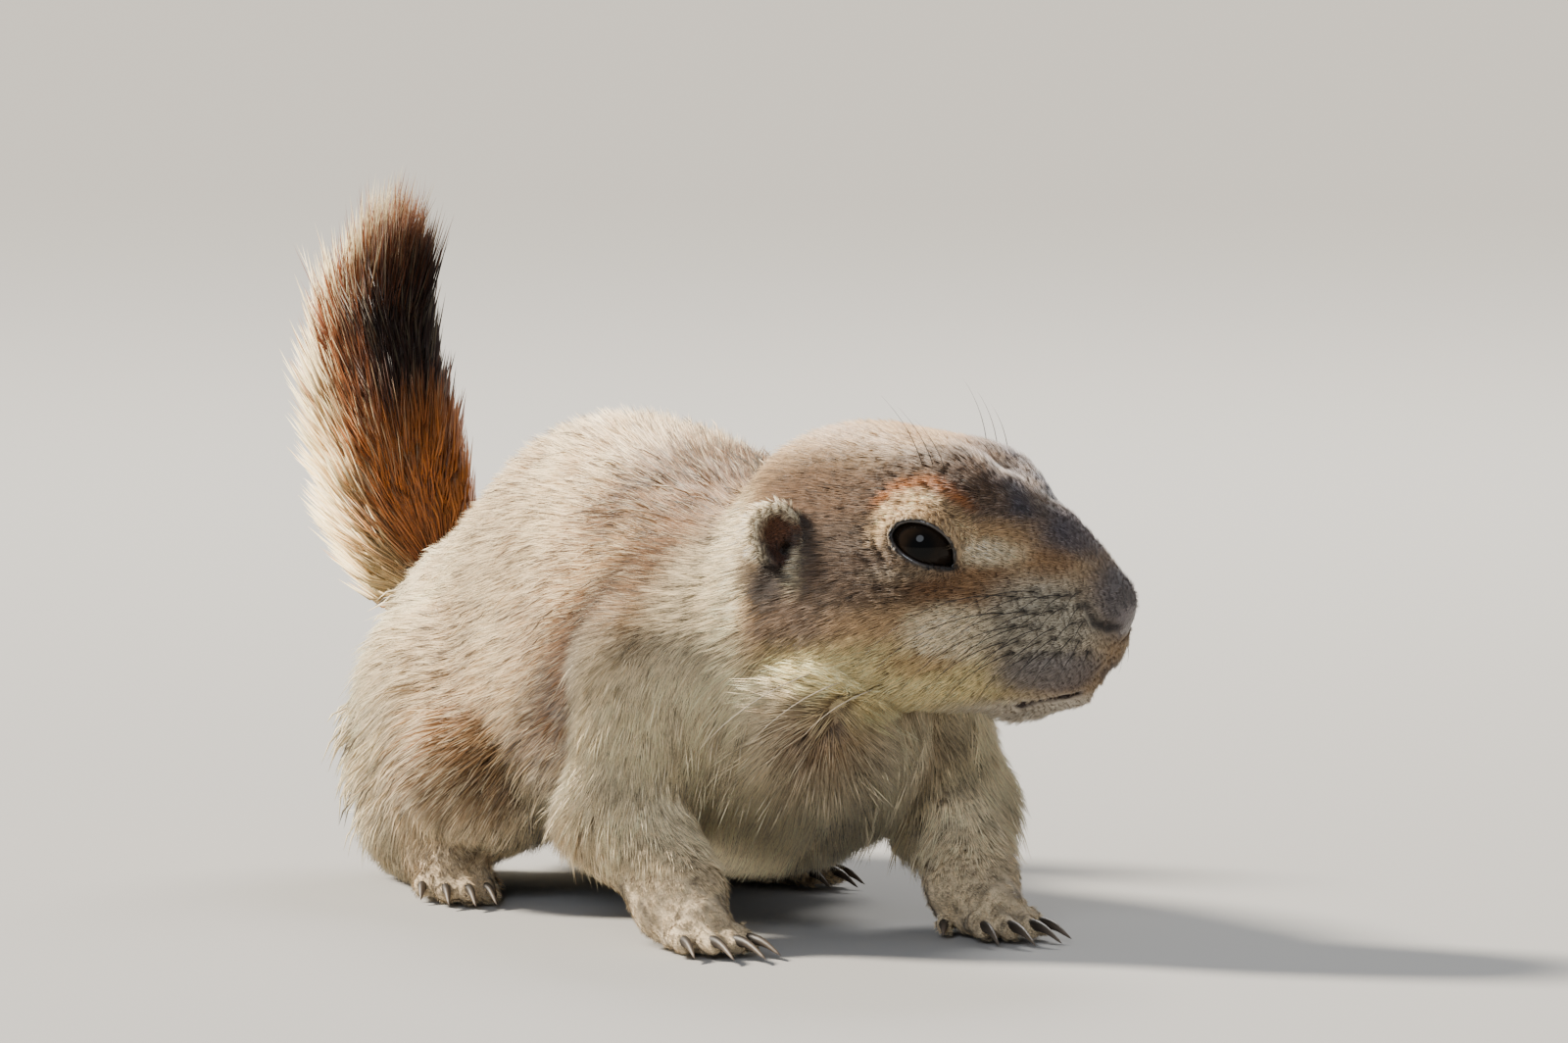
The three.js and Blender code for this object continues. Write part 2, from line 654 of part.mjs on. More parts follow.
// The tail is parted where it bends up: a root and a tip, each close to straight.
const TAIL_BEND = 0.46;
function makeTail() {
  const { at, along } = alongTail(TAIL_BEND);
  const whole = wholeTail();
  const half = (normal) =>
    largest(whole.trimByPlane(normal.toArray(), normal.dot(at) + GAP / 2));
  return { root: half(along.clone().negate()), tip: half(along) };
}

function makeNeck() {
  let neck = surface(bodyField, [24, -34, 22], [98, 44, 98], CELL.neck).intersect(neckZone(0));
  neck = neck.subtract(headZone(GAP));
  for (const side of SIDES) {
    neck = neck.subtract(forelegZone(side, GAP)).subtract(earFlap(side, GAP));
  }
  return largest(neck);
}

function makeTorso() {
  let torso = surface(bodyField, [-92, -54, 2], [92, 54, 96], CELL.torso);
  torso = torso.subtract(headZone(GAP)).subtract(neckZone(GAP)).subtract(tailCore(GAP));
  for (const side of SIDES) {
    torso = torso.subtract(forelegZone(side, GAP)).subtract(hindlegZone(side, GAP));
  }
  return largest(torso);
}

// Cuts leave edges far shorter than anything that shows. Each is collapsed to one of its
// ends where the mesh stays closed, which is where the ends share just two neighbours.
const SHORT_EDGE = 0.15;
function withoutShortEdges(points, faces) {
  const facesAt = points.map(() => new Set());
  faces.forEach((face, f) => face.forEach((v) => facesAt[v].add(f)));
  const neighbours = (v) => new Set([...facesAt[v]].flatMap((f) => faces[f]).filter((w) => w !== v));
  const collapse = (keep, drop) => {
    const near = neighbours(keep);
    const shared = [...neighbours(drop)].filter((w) => near.has(w));
    if (!facesAt[keep].size || !facesAt[drop].size || shared.length !== 2) return;
    for (const f of [...facesAt[drop]]) {
      if (faces[f].includes(keep)) {
        faces[f].forEach((v) => facesAt[v].delete(f));
        faces[f] = null;
      } else {
        faces[f] = faces[f].map((v) => (v === drop ? keep : v));
        facesAt[keep].add(f);
      }
    }
    facesAt[drop].clear();
  };
  for (let f = 0; f < faces.length; f++)
    for (let k = 0; k < 3; k++) {
      if (!faces[f]) break;
      const a = faces[f][k];
      const b = faces[f][(k + 1) % 3];
      if (points[a].distanceTo(points[b]) < SHORT_EDGE) collapse(a, b);
    }
  return faces.filter(Boolean);
}

const part = new THREE.Group();
part.name = "prairie_dog";

function add(name, shape, color, roughness) {
  const { numProp, vertProperties, triVerts } = shape.getMesh();
  const points = [];
  for (let i = 0; i < vertProperties.length; i += numProp)
    points.push(vec(vertProperties[i], vertProperties[i + 1], vertProperties[i + 2]));
  const faces = [];
  for (let i = 0; i < triVerts.length; i += 3) faces.push([...triVerts.slice(i, i + 3)]);
  const geometry = new THREE.BufferGeometry().setFromPoints(points);
  geometry.setIndex(withoutShortEdges(points, faces).flat());
  geometry.computeVertexNormals();
  const material = new THREE.MeshStandardMaterial({ color, roughness, metalness: 0 });
  const mesh = new THREE.Mesh(geometry, material);
  mesh.name = name;
  part.add(mesh);
}

add("torso", makeTorso(), 0xb59a78, 0.9);
add("neck", makeNeck(), 0xb8a083, 0.9);
add("head", makeHead(), 0xa58f74, 0.9);
const tail = makeTail();
add("tail_root", tail.root, 0xa06a3c, 0.9);
add("tail_tip", tail.tip, 0x7a5238, 0.9);
for (const side of SIDES) {
  add(`eye_${side.name}`, makeEye(side), 0x0b0908, 0.05);
  add(`ear_${side.name}`, makeEar(side), 0xa8764e, 0.8);
  add(`foreleg_${side.name}`, makeForeleg(side), 0xbfa98a, 0.9);
  add(`forefoot_${side.name}`, makeForefoot(side), 0xcbb592, 0.85);
  add(`hindleg_${side.name}`, makeHindleg(side), 0xb0946f, 0.9);
  add(`hindfoot_${side.name}`, makeHindfoot(side), 0xcbb592, 0.85);
}

// The origin is the middle of the footprint, on the floor.
const box = new THREE.Box3().setFromObject(part);
const middle = box.getCenter(vec(0, 0, 0));
part.position.set(-middle.x, -middle.y, -box.min.z);

export default part;
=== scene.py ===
# %% [markdown]
# # A prairie dog under studio light
# The photo shows a prairie dog crouching in the sun, its head turned and its tail raised.
# Here it is built as a museum would show it, life size and still, on a plain pale floor.
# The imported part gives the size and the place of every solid, so it is loaded first, and
# nothing that follows moves it. The skin, the coat and the face are built around it.

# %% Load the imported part
import json
import math

import bmesh
import bpy
import numpy as np
import openvdb
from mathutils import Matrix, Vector

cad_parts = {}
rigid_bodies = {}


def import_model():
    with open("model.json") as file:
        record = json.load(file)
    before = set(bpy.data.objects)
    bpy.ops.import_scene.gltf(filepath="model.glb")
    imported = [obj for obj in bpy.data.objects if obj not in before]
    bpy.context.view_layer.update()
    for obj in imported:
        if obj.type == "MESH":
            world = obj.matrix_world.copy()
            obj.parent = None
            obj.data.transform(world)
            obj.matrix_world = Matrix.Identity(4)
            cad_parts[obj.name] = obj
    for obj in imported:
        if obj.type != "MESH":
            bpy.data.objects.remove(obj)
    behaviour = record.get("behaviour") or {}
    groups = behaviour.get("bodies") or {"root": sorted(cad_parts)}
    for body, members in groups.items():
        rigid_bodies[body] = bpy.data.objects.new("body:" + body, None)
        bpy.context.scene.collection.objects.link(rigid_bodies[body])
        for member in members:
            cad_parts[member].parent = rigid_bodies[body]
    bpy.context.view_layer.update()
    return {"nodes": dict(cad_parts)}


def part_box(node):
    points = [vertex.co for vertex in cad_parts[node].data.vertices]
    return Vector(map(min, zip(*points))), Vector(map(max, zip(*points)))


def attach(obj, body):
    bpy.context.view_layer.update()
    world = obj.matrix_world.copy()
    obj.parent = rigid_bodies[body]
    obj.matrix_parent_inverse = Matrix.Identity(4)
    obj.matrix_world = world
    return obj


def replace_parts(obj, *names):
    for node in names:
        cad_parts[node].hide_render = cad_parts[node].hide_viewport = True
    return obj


MM = 0.001
MM_IN_METRE = 1000
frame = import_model()
print("nodes:", sorted(frame["nodes"]))


def in_scene(name, data):
    made = bpy.data.objects.new(name, data)
    bpy.context.scene.collection.objects.link(made)
    return made


# %% [markdown]
# ## Camera
# The photo was taken from far away with a long lens, so lines hardly converge. A camera
# three metres off with a 390 mm lens gives the same flat perspective. It looks slightly
# down from the front right, at a point inside the shoulder that is the photo's middle.

# %% Place the camera
AIM = Vector((0.01804, 0.01849, 0.067))
DISTANCE = 3.0
AZIMUTH = math.radians(65)
ELEVATION = math.radians(5)
PHOTO_WIDTH = 1600
PIXELS_A_MM = 5.8
FRAME_WIDTH = PHOTO_WIDTH / PIXELS_A_MM * MM

level = math.cos(ELEVATION)
towards_camera = Vector((math.sin(AZIMUTH) * level, -math.cos(AZIMUTH) * level, math.sin(ELEVATION)))
camera_data = bpy.data.cameras.new("camera")
camera_data.sensor_width = 36.0
camera_data.lens = camera_data.sensor_width * DISTANCE / FRAME_WIDTH
camera = in_scene("camera", camera_data)
camera.location = AIM + towards_camera * DISTANCE
camera.rotation_euler = towards_camera.to_track_quat("Z", "Y").to_euler()
bpy.context.scene.camera = camera
print("lens", round(camera_data.lens, 1), "mm")

# %% [markdown]
# ## Light and floor
# The sun in the photo stands on the left and a little behind, and the sky fills the
# shaded side with a cool light. A soft, distant key lamp stands for the sun, so the whole
# floor is as pale as it is near the animal. A small lamp at the front right gives the
# fill and the spot of light in the eye, and one behind lights the hair tips along the
# back. The floor is one wide flat sheet, and the camera looks down on it far enough that
# no horizon shows.

# %% Studio lamps
LAMP_AIM = Vector((0.0, 0.0, 0.05))


def lamp(name, kind, place, energy, colour, **sizes):
    data = bpy.data.lights.new(name, kind)
    data.energy = energy
    data.color = colour
    for key, value in sizes.items():
        setattr(data, key, value)
    made = in_scene(name, data)
    made.location = place
    made.rotation_euler = (Vector(place) - LAMP_AIM).to_track_quat("Z", "Y").to_euler()
    print(name, kind.lower(), "lamp at", place)


lamp("key", "SUN", (-0.92, -0.8, 0.97), 13.2, (1.0, 0.905, 0.76), angle=math.radians(10))
lamp("fill", "AREA", (1.0, -0.78, 0.72), 7.8, (0.84, 0.90, 1.0), shape="DISK", size=0.55)
lamp("rim", "AREA", (-0.9, 0.6, 0.9), 16.0, (1.0, 0.97, 0.92), shape="DISK", size=0.5)

world = bpy.data.worlds.new("studio")
bpy.context.scene.world = world
world.use_nodes = True
sky = world.node_tree.nodes["Background"].inputs
sky["Color"].default_value = (0.80, 0.83, 0.88, 1.0)
sky["Strength"].default_value = 0.42

# %% Floor sheet
FLOOR_RADIUS = 9.0
FLOOR_DROP = 0.0002
FLOOR_SIDES = 96
floor_paper = bpy.data.materials.new("floor_paper")
floor_paper.use_nodes = True
paper = floor_paper.node_tree.nodes["Principled BSDF"].inputs
paper["Base Color"].default_value = (0.345, 0.342, 0.335, 1.0)
paper["Roughness"].default_value = 0.9
turns = [2 * math.pi * step / FLOOR_SIDES for step in range(FLOOR_SIDES)]
rim = [(FLOOR_RADIUS * math.cos(t), FLOOR_RADIUS * math.sin(t), -FLOOR_DROP) for t in turns]
floor_mesh = bpy.data.meshes.new("floor")
floor_mesh.from_pydata(rim, [], [tuple(range(FLOOR_SIDES))])
floor_mesh.materials.append(floor_paper)
floor = in_scene("floor", floor_mesh)

# %% [markdown]
# ## The body as a field
# A furry body has no edges to start from, so it is described by a distance field: a
# function that says, for any point, about how far it lies from the surface, with minus
# signs inside. Eggs and tapered limbs are simple fields, and a soft union runs them into
# each other as muscle under skin does. The sizes are the animal's own, in millimetres,
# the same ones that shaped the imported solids. Points are arrays of three rows.

# %% Field helpers
TINY = 1e-6


def smooth(value, start, end):
    t = np.clip((value - start) / (end - start), 0.0, 1.0)
    return t * t * (3.0 - 2.0 * t)


def egg(p, centre, semi):
    x, y, z = ((p[k] - centre[k]) / semi[k] for k in range(3))
    k0 = np.sqrt(x * x + y * y + z * z)
    k1 = np.sqrt((x / semi[0]) ** 2 + (y / semi[1]) ** 2 + (z / semi[2]) ** 2)
    return np.where(k1 > TINY, k0 * (k0 - 1.0) / np.maximum(k1, TINY), -min(semi))


def limb(p, a, b, ra, rb):
    bx, by, bz = b[0] - a[0], b[1] - a[1], b[2] - a[2]
    px, py, pz = p[0] - a[0], p[1] - a[1], p[2] - a[2]
    t = np.clip((px * bx + py * by + pz * bz) / (bx * bx + by * by + bz * bz), 0.0, 1.0)
    reach = np.sqrt((px - bx * t) ** 2 + (py - by * t) ** 2 + (pz - bz * t) ** 2)
    return reach - (ra + (rb - ra) * t)


def fuse(a, b, k):
    h = np.maximum(k - np.abs(a - b), 0.0) / k
    return np.minimum(a, b) - h * h * k * 0.25


def carve(a, b, k):
    return -fuse(-a, b, k)


def chain(p, points, radii, k=0.5):
    d = limb(p, points[0], points[1], radii[0], radii[1])
    for i in range(1, len(points) - 1):
        d = fuse(d, limb(p, points[i], points[i + 1], radii[i], radii[i + 1]), k)
    return d


def mirrored(p):
    return np.stack([p[0], np.abs(p[1]), p[2]])


def blot(p, centre, semi, soft=0.4):
    k = np.sqrt(sum(((p[i] - centre[i]) / semi[i]) ** 2 for i in range(3)))
    return 1.0 - smooth(k, 1.0 - soft, 1.0 + soft)


# %% [markdown]
# The head is turned 42 degrees to its left. Giving it a frame of its own, with X to the
# nose and Y to its left, lets every feature of the face be written once for both sides.

# %% Head frame
HEAD_YAW = math.radians(42)
HEAD_CENTRE = (62.0, 4.0, 70.0)
YAW_COS, YAW_SIN = math.cos(HEAD_YAW), math.sin(HEAD_YAW)


def turn_to_head(v):
    return np.stack([YAW_COS * v[0] + YAW_SIN * v[1], YAW_COS * v[1] - YAW_SIN * v[0], v[2]])


def turn_from_head(v):
    return np.stack([YAW_COS * v[0] - YAW_SIN * v[1], YAW_SIN * v[0] + YAW_COS * v[1], v[2]])


def to_head(p):
    return turn_to_head(np.stack([p[k] - HEAD_CENTRE[k] for k in range(3)]))


def from_head(q):
    return turn_from_head(np.asarray(q, float)) + np.array(HEAD_CENTRE).reshape(3, *[1] * (np.ndim(q) - 1))


# %% [markdown]
# Each part of the body is a table of named forms, and the last number of a row says how
# softly it runs into those before it. Both sides are alike, so a form off the middle is
# written for the left side only, and every point is mirrored to that side first.

# %% Forms of the body
NAPE = tuple(from_head([-4.0, 0.0, -9.0]))
HEAD = {
    "skull": (egg, (8, 0, -1), (25, 20, 21), 1),
    "cheeks": (egg, (12, 12.5, -13), (22, 13, 17), 8),
    "jowls": (egg, (29, 6.5, -17), (16, 11, 12.5), 8),
    "muzzle": (limb, (24, 0, -7), (42, 0, -12), 16.5, 12, 6),
    "lip pads": (egg, (42, 5, -17.5), (10.5, 7.5, 7.5), 5),
    "nose": (egg, (50.5, 0, -10.5), (6, 5.2, 5.5), 5),
    "jaw": (limb, (24, 0, -20.5), (41.5, 0, -24.8), 9, 4.4, 5),
    "forehead": (egg, (21, 0, 6), (12, 12, 8), 6),
    "bridge": (limb, (22, 0, 3.5), (44, 0, -4), 10, 6.2, 5),
    "brows": (egg, (24, 9, 8.8), (11, 8, 6.2), 8),
}
TRUNK = {
    "chest": (egg, (36, 0, 42), (46, 33, 34), 1),
    "back": (egg, (-9, 0, 50), (53, 27, 36.5), 22),
    "belly": (egg, (-12, 0, 32), (52, 32, 24), 14),
    "rump": (egg, (-45, 0, 38), (31, 25, 29), 12),
    "haunches": (egg, (-43, 21, 25), (31, 16, 23), 8),
    "tail base": (egg, (-60, 0, 38), (33, 23, 25), 8),
}
FORELEG = {
    "shoulder": (limb, (50, 24, 44), (52, 31, 22), 15, 11, 1),
    "forearm": (limb, (52, 31, 22), (68, 28, 10), 11, 8, 6),
    "forefoot": (limb, (68, 28, 7.5), (78, 28, 4.6), 8, 5.6, 4),
}
HINDLEG = {
    "thigh": (limb, (-46, 18, 36), (-12, 28, 22), 16, 12, 1),
    "shank": (limb, (-12, 28, 22), (-52, 23, 11), 12, 9, 8),
    "hindfoot": (limb, (-54, 23, 7), (-14, 33, 4.6), 8, 6.2, 5),
}


def built(p, forms):
    m = mirrored(p)
    d = np.full(p.shape[1:], np.inf)
    for shape, *sizes, softness in forms.values():
        d = fuse(d, shape(m, *sizes), softness)
    return d


def part_fields(p):
    neck = limb(p, (44, 0, 52), NAPE, 27, 17)
    return np.stack([built(p, TRUNK), neck, built(to_head(p), HEAD), built(p, FORELEG), built(p, HINDLEG)])


print("forms:", ", ".join([*HEAD, *TRUNK, *FORELEG, *HINDLEG]))

# %% [markdown]
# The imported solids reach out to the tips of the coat. The skin lies deeper, by the depth
# of the fur at each place: half a millimetre at the nose and toes, and nearly four on the
# flanks. Each part of the body has a depth of its own, and a soft share blends them.

# %% Depth of the coat
TRUNK_DEPTH, NECK_DEPTH = 3.7, 3.1
FOREHEAD = ((41, 0, 7), (8, 11, 6), 0.6)


def part_shares(parts, softness=3.5):
    w = np.exp(-(parts - parts.min(axis=0)) / softness)
    return w / w.sum(axis=0)


def coat_depth(p, parts, shares):
    q = to_head(p)
    head = 0.55 + 0.45 * smooth(q[0], 50, 28) + 1.2 * smooth(q[0], 22, -2)
    head -= 2.0 * blot(q, *FOREHEAD)
    foreleg = 0.6 + 2.2 * smooth(p[2], 9, 30)
    hindleg = 0.6 + 3.0 * smooth(p[2], 9, 28)
    depths = (TRUNK_DEPTH, NECK_DEPTH, head, foreleg, hindleg)
    return sum(depth * share for depth, share in zip(depths, shares))


# %% [markdown]
# ## Toes, tail core, eyes, ears, nose and mouth
# Each toe is a short chain of tapered limbs. A row says how far out and back it starts,
# where it heads in degrees, its length and radius, and how long its claw is. The hind
# feet turn out by 14 degrees. The claws are horn and come later as pieces of their own.

# %% Toes
FORE_TOES = (
    (-7.2, 7.0, -28, 2.6, 1.5, 3.5),
    (-4.6, 0.8, -10, 8.0, 2.1, 8.0),
    (-1.5, 0.0, -3, 10.0, 2.3, 9.5),
    (1.7, 0.0, 4, 9.5, 2.3, 9.0),
    (4.7, 1.6, 12, 7.0, 2.1, 7.5),
)
HIND_TOES = (
    (-5.4, 6.0, -12, 4.5, 1.8, 4.0),
    (-3.0, 1.0, -5, 9.0, 2.3, 5.5),
    (-0.1, 0.0, 0, 10.0, 2.4, 6.0),
    (2.9, 1.2, 5, 8.5, 2.3, 5.5),
    (5.4, 6.0, 13, 4.5, 1.9, 4.5),
)
FEET = ((FORE_TOES, (79, 28), 0.0), (HIND_TOES, (-13, 33.2), math.radians(14)))
TOE_FUR = 0.3
TOE_CLEAR = 0.2
toes = []
for foot_toes, (foot_x, foot_y), turn in FEET:
    for out, back, heading, length, radius, claw in foot_toes:
        x = foot_x - back * math.cos(turn) - out * math.sin(turn)
        y = foot_y - back * math.sin(turn) + out * math.cos(turn)
        toes.append(((x, y), math.radians(heading) + turn, length, radius, claw))
print(len(toes), "toes on each side")


def toe_point(toe, run, rise):
    (x, y), heading, length, radius, claw = toe
    return (x + math.cos(heading) * run, y + math.sin(heading) * run, radius + TOE_CLEAR + rise)


def toe_shape(m, toe):
    length, radius = toe[2], toe[3]
    thick = radius - TOE_FUR
    points = [
        toe_point(toe, -4.0, 0.0),
        toe_point(toe, 0.35 * length, 0.45 * radius),
        toe_point(toe, 0.62 * length, 0.1 * radius),
        toe_point(toe, length - 0.6 * radius, -0.15 * radius),
    ]
    return chain(m, points, [thick, thick * 0.92, thick * 0.86, thick * 0.78], 0.8)


# %% [markdown]
# The tail's bones and muscle are thin: most of the brush is hair. A smooth curve through
# six points, from inside the rump to the tip, carries the core now and the hair later.

# %% Tail curve
TAIL_POINTS = np.array(
    [(-76, 0, 40), (-92, -0.5, 46), (-103, -2, 56), (-110, -4, 70), (-115, -4.5, 85), (-113, -3.5, 100)],
    float,
)
TAIL_STEPS = 20


def catmull(points, count):
    ends = np.vstack([2 * points[0] - points[1], points, 2 * points[-1] - points[-2]])
    made = []
    for s in np.linspace(0, len(points) - 1, count):
        i = min(int(s), len(points) - 2)
        t = s - i
        a, b, c, d = ends[i : i + 4]
        square = (2 * a - 5 * b + 4 * c - d) * t**2
        cube = (3 * b - a - 3 * c + d) * t**3
        made.append(0.5 * (2 * b + (c - a) * t + square + cube))
    return np.array(made)


tail_line = catmull(TAIL_POINTS, TAIL_STEPS + 1)
tail_share = np.linspace(0, 1, TAIL_STEPS + 1)
tail_radii = 4.6 * (1.1 - 0.35 * tail_share - 0.3 * tail_share**4)
bone_length = np.linalg.norm(np.diff(tail_line, axis=0), axis=1).sum()
print("tail bone", round(float(bone_length)), "mm")


def tail_shape(p):
    d = np.full(p.shape[1], np.inf)
    for i in range(TAIL_STEPS):
        d = np.minimum(d, limb(p, tail_line[i], tail_line[i + 1], tail_radii[i], tail_radii[i + 1]))
    return d


# %% [markdown]
# The eye is a ball in a socket, under lids that leave a slit. The slit dips 23 degrees
# towards the nose. Its upper edge is arched and its lower edge is flatter, as two half
# ellipses, with a small point at the tear duct.

# %% Eye frame and slit
def unit(v):
    v = np.asarray(v, float)
    return v / np.linalg.norm(v)


def square_to(out, v):
    v = np.asarray(v, float)
    return unit(v - out * (v @ out))


def in_axes(m, at, axes):
    rel = np.stack([m[k] - at[k] for k in range(3)])
    return np.stack([np.tensordot(axis, rel, 1) for axis in axes])


EYE_AT = np.array([23.6, 15.2, -0.4])
EYE_OUT = unit([0.3, 0.95, 0.08])
EYE_TILT = math.radians(23)
EYE_ALONG = square_to(EYE_OUT, [math.cos(EYE_TILT), 0.0, -math.sin(EYE_TILT)])
EYE_UP = np.cross(EYE_ALONG, EYE_OUT)
SLIT_HALF, SLIT_UPPER, SLIT_LOWER = 5.7, 3.8, 2.8
LID_RADIUS = 7.65
SOCKET_RADIUS = 6.72


def eye_coordinates(m):
    return in_axes(m, EYE_AT, (EYE_ALONG, EYE_UP, EYE_OUT))


def slit_distance(u, v):
    rise = np.where(v > 0, SLIT_UPPER, SLIT_LOWER)
    k0 = np.hypot(u / SLIT_HALF, v / rise)
    k1 = np.hypot(u / SLIT_HALF**2, v / rise**2)
    opening = k0 * (k0 - 1.0) / np.maximum(k1, TINY)
    duct = limb(np.stack([u, v, 0 * u]), (3.0, -0.2, 0), (6.3, -0.9, 0), 1.3, 0.3)
    return fuse(opening, duct, 1.2)


def add_eye(d, m):
    u, v, w = eye_coordinates(m)
    ball = np.sqrt(u * u + v * v + w * w)
    slit = slit_distance(u, v)
    d = fuse(d, np.maximum(ball - LID_RADIUS, 1.0 - w), 3.0)
    fold = np.exp(-(((slit - 2.3) / 0.6) ** 2)) * smooth(w, 1.0, 4.0)
    d = d + fold * np.where(v > 0, 0.45, 0.3)
    d = carve(d, np.maximum(slit, 3.4 - w), 0.7)
    return np.maximum(d, SOCKET_RADIUS - ball)


# %% [markdown]
# The ear is a low round flap with a cup that opens outwards and a little forwards. A
# rolled rim runs over its top and down behind, and a short ridge stands in front.

# %% Ear
EAR_AT = np.array([-1.4, 19.6, 0.4])
EAR_OUT = unit([0.3, 0.94, 0.12])
EAR_UP = square_to(EAR_OUT, [-0.16, 0.0, 1.0])
EAR_BACK = np.cross(EAR_UP, EAR_OUT)
EAR_FLAP = ((0, 0, 0), (4.5, 5.6, 3.3))
EAR_CUP = ((-0.2, 0.1, 3.1), (3.6, 4.6, 4.0))
EAR_HOLE = ((-0.8, -1.6, 0.6), (-1.8, -2.6, -5), 1.5, 0.9)
EAR_RIDGE = ((-3.4, -3.4, 1.0), (-3.3, 0.6, 1.5), 0.9, 0.7)
rim_turns = np.radians(np.linspace(-55, 165, 9))
EAR_RIM = [(4.0 * math.sin(t), 5.1 * math.cos(t), 1.9 - 0.5 * abs(t - 1.0)) for t in rim_turns]
EAR_RIM_RADII = [0.55, 0.8, 0.95, 1.0, 1.05, 1.05, 1.0, 0.8, 0.5]


def ear_coordinates(m):
    return in_axes(m, EAR_AT, (EAR_BACK, EAR_UP, EAR_OUT))


def add_ear(d, m):
    e = ear_coordinates(m)
    d = fuse(d, egg(e, *EAR_FLAP), 1.5)
    d = fuse(d, limb(e, *EAR_RIDGE), 1.0)
    d = fuse(d, chain(e, EAR_RIM, EAR_RIM_RADII), 0.8)
    d = carve(d, egg(e, *EAR_CUP), 0.7)
    return carve(d, limb(e, *EAR_HOLE), 0.8)


# %% [markdown]
# Nose and mouth need points that lie on the face, so a search walks out from inside the
# head until it leaves the skin. The nostrils are curved slits round the wings of the
# nose. The lips are two rolls with a thin groove between them, and a wedge of chin
# carries the lower one.

# %% Nose and mouth
FACE_DEPTH = 0.6
FACE_REACH, FACE_HALVINGS = 40.0, 26


def edge_of(inside, far, halvings):
    near = 0.0
    for _ in range(halvings):
        middle = 0.5 * (near + far)
        near, far = (middle, far) if inside(middle) else (near, middle)
    return near


def on_face(start, direction, lift=0.0):
    start, direction = np.asarray(start, float), np.asarray(direction, float)

    def inside(run):
        return built((start + direction * run).reshape(3, 1), HEAD)[0] + FACE_DEPTH < 0

    return start + direction * (edge_of(inside, FACE_REACH, FACE_HALVINGS) + lift)


NOSTRIL = [
    on_face((50.5, 0, -9.8), (0, 1, 0), 0.15),
    on_face((49, 0, -11.4), (0.4, 1, -0.25), 0.1),
    on_face((48.5, 0, -11.8), (0.85, 0.8, -0.4), 0.0),
    on_face((48, 0, -12), (1, 0.42, -0.36), 0.05),
]
NOSTRIL_RADII = [0.2, 0.45, 0.62, 0.35]
PHILTRUM = [on_face((46, 0, -15), (1, 0, t), 0.15) for t in (-0.1, -0.35, -0.7, -1.1)]
PHILTRUM_RADII = [0.3, 0.4, 0.45, 0.4]
CHIN = ((45.8, 0, -24.4), (35, 0, -25.8), 2.1, 5.5)
MOUTH_POINTS = 13
MOUTH_TURN = 96


def mouth_line(lift, drop, push=0.0):
    points = []
    for s in np.linspace(-1, 1, MOUTH_POINTS):
        turn = math.radians(MOUTH_TURN * s)
        height = -25 - 2.9 * abs(s) ** 1.4 + drop
        out = lift + push * (1 - abs(s) ** 0.8)
        points.append(on_face((38, 0, height), (math.cos(turn), math.sin(turn), 0), out))
    return points


mouth = mouth_line(0.1, 0.0)
upper_lip = mouth_line(-1.75, 1.8)
lower_lip = mouth_line(-2.6, -1.6, 3.6)
lip_taper = 1.0 - 0.45 * np.abs(np.linspace(-1, 1, MOUTH_POINTS)) ** 4
print("mouth corner", np.round(mouth[-1], 1), "nostril", np.round(NOSTRIL[1], 1))


def add_mouth(d, q):
    d = fuse(d, chain(q, upper_lip, 2.05 * lip_taper), 1.5)
    d = fuse(d, limb(q, *CHIN), 3.0)
    d = fuse(d, chain(q, lower_lip, 1.5 * lip_taper), 1.8)
    d = carve(d, chain(q, mouth, 0.7 * lip_taper), 0.8)
    d = carve(d, chain(mirrored(q), NOSTRIL, NOSTRIL_RADII), 0.6)
    return carve(d, chain(q, PHILTRUM, PHILTRUM_RADII), 0.5)


# %% [markdown]
# One function now gives the whole skin. The small forms cost time, so each is worked out
# only for the points close to it.

# %% Whole skin field
FACE_FEATURES = (
    (add_eye, True, (12, 4, -14), (36, 28, 14)),
    (add_ear, True, (-12, 8, -12), (10, 30, 13)),
    (add_mouth, False, (26, -24, -36), (62, 24, -3)),
)
TAIL_BOX = ((-125, -16, 28), (-66, 14, 112))
SOLE_HEIGHT = 0.15


def change_near(d, p, low, high, change):
    near = np.ones(p.shape[1], bool)
    for k in range(3):
        near &= (p[k] > low[k]) & (p[k] < high[k])
    if near.any():
        d[near] = change(d[near], p[:, near])


def skin_field(p):
    parts = part_fields(p)
    d = fuse(parts[0], parts[1], 10)
    d = fuse(d, parts[2], 5)
    d = fuse(fuse(d, parts[3], 8), parts[4], 8)
    d = d + coat_depth(p, parts, part_shares(parts))
    m = mirrored(p)
    for toe in toes:
        x, y = toe[0]
        low, high = (x - 9, y - 7, -2), (x + 16, y + 7, 9)
        change_near(d, m, low, high, lambda near, at: fuse(near, toe_shape(at, toe), 1.4))
    change_near(d, p, *TAIL_BOX, lambda near, at: fuse(near, tail_shape(at), 6))
    q = to_head(p)
    for add, both_sides, low, high in FACE_FEATURES:
        change_near(d, mirrored(q) if both_sides else q, low, high, add)
    return np.maximum(d, SOLE_HEIGHT - p[2])


# %% [markdown]
# ## Meshing the skin
# A lattice of samples turns the field into a mesh. Its spacing is graded along each axis:
# about half a millimetre through the face, ears and toes, and wider over the trunk, where
# the coat hides the skin. A coarse pass finds the samples that lie near the surface, and
# only those are worked out in full. The volume library that Blender ships with makes
# quads from the samples, and each vertex is then slid onto the exact surface. A row of
# spans gives the two ends of an axis, its first spacing and where that changes.

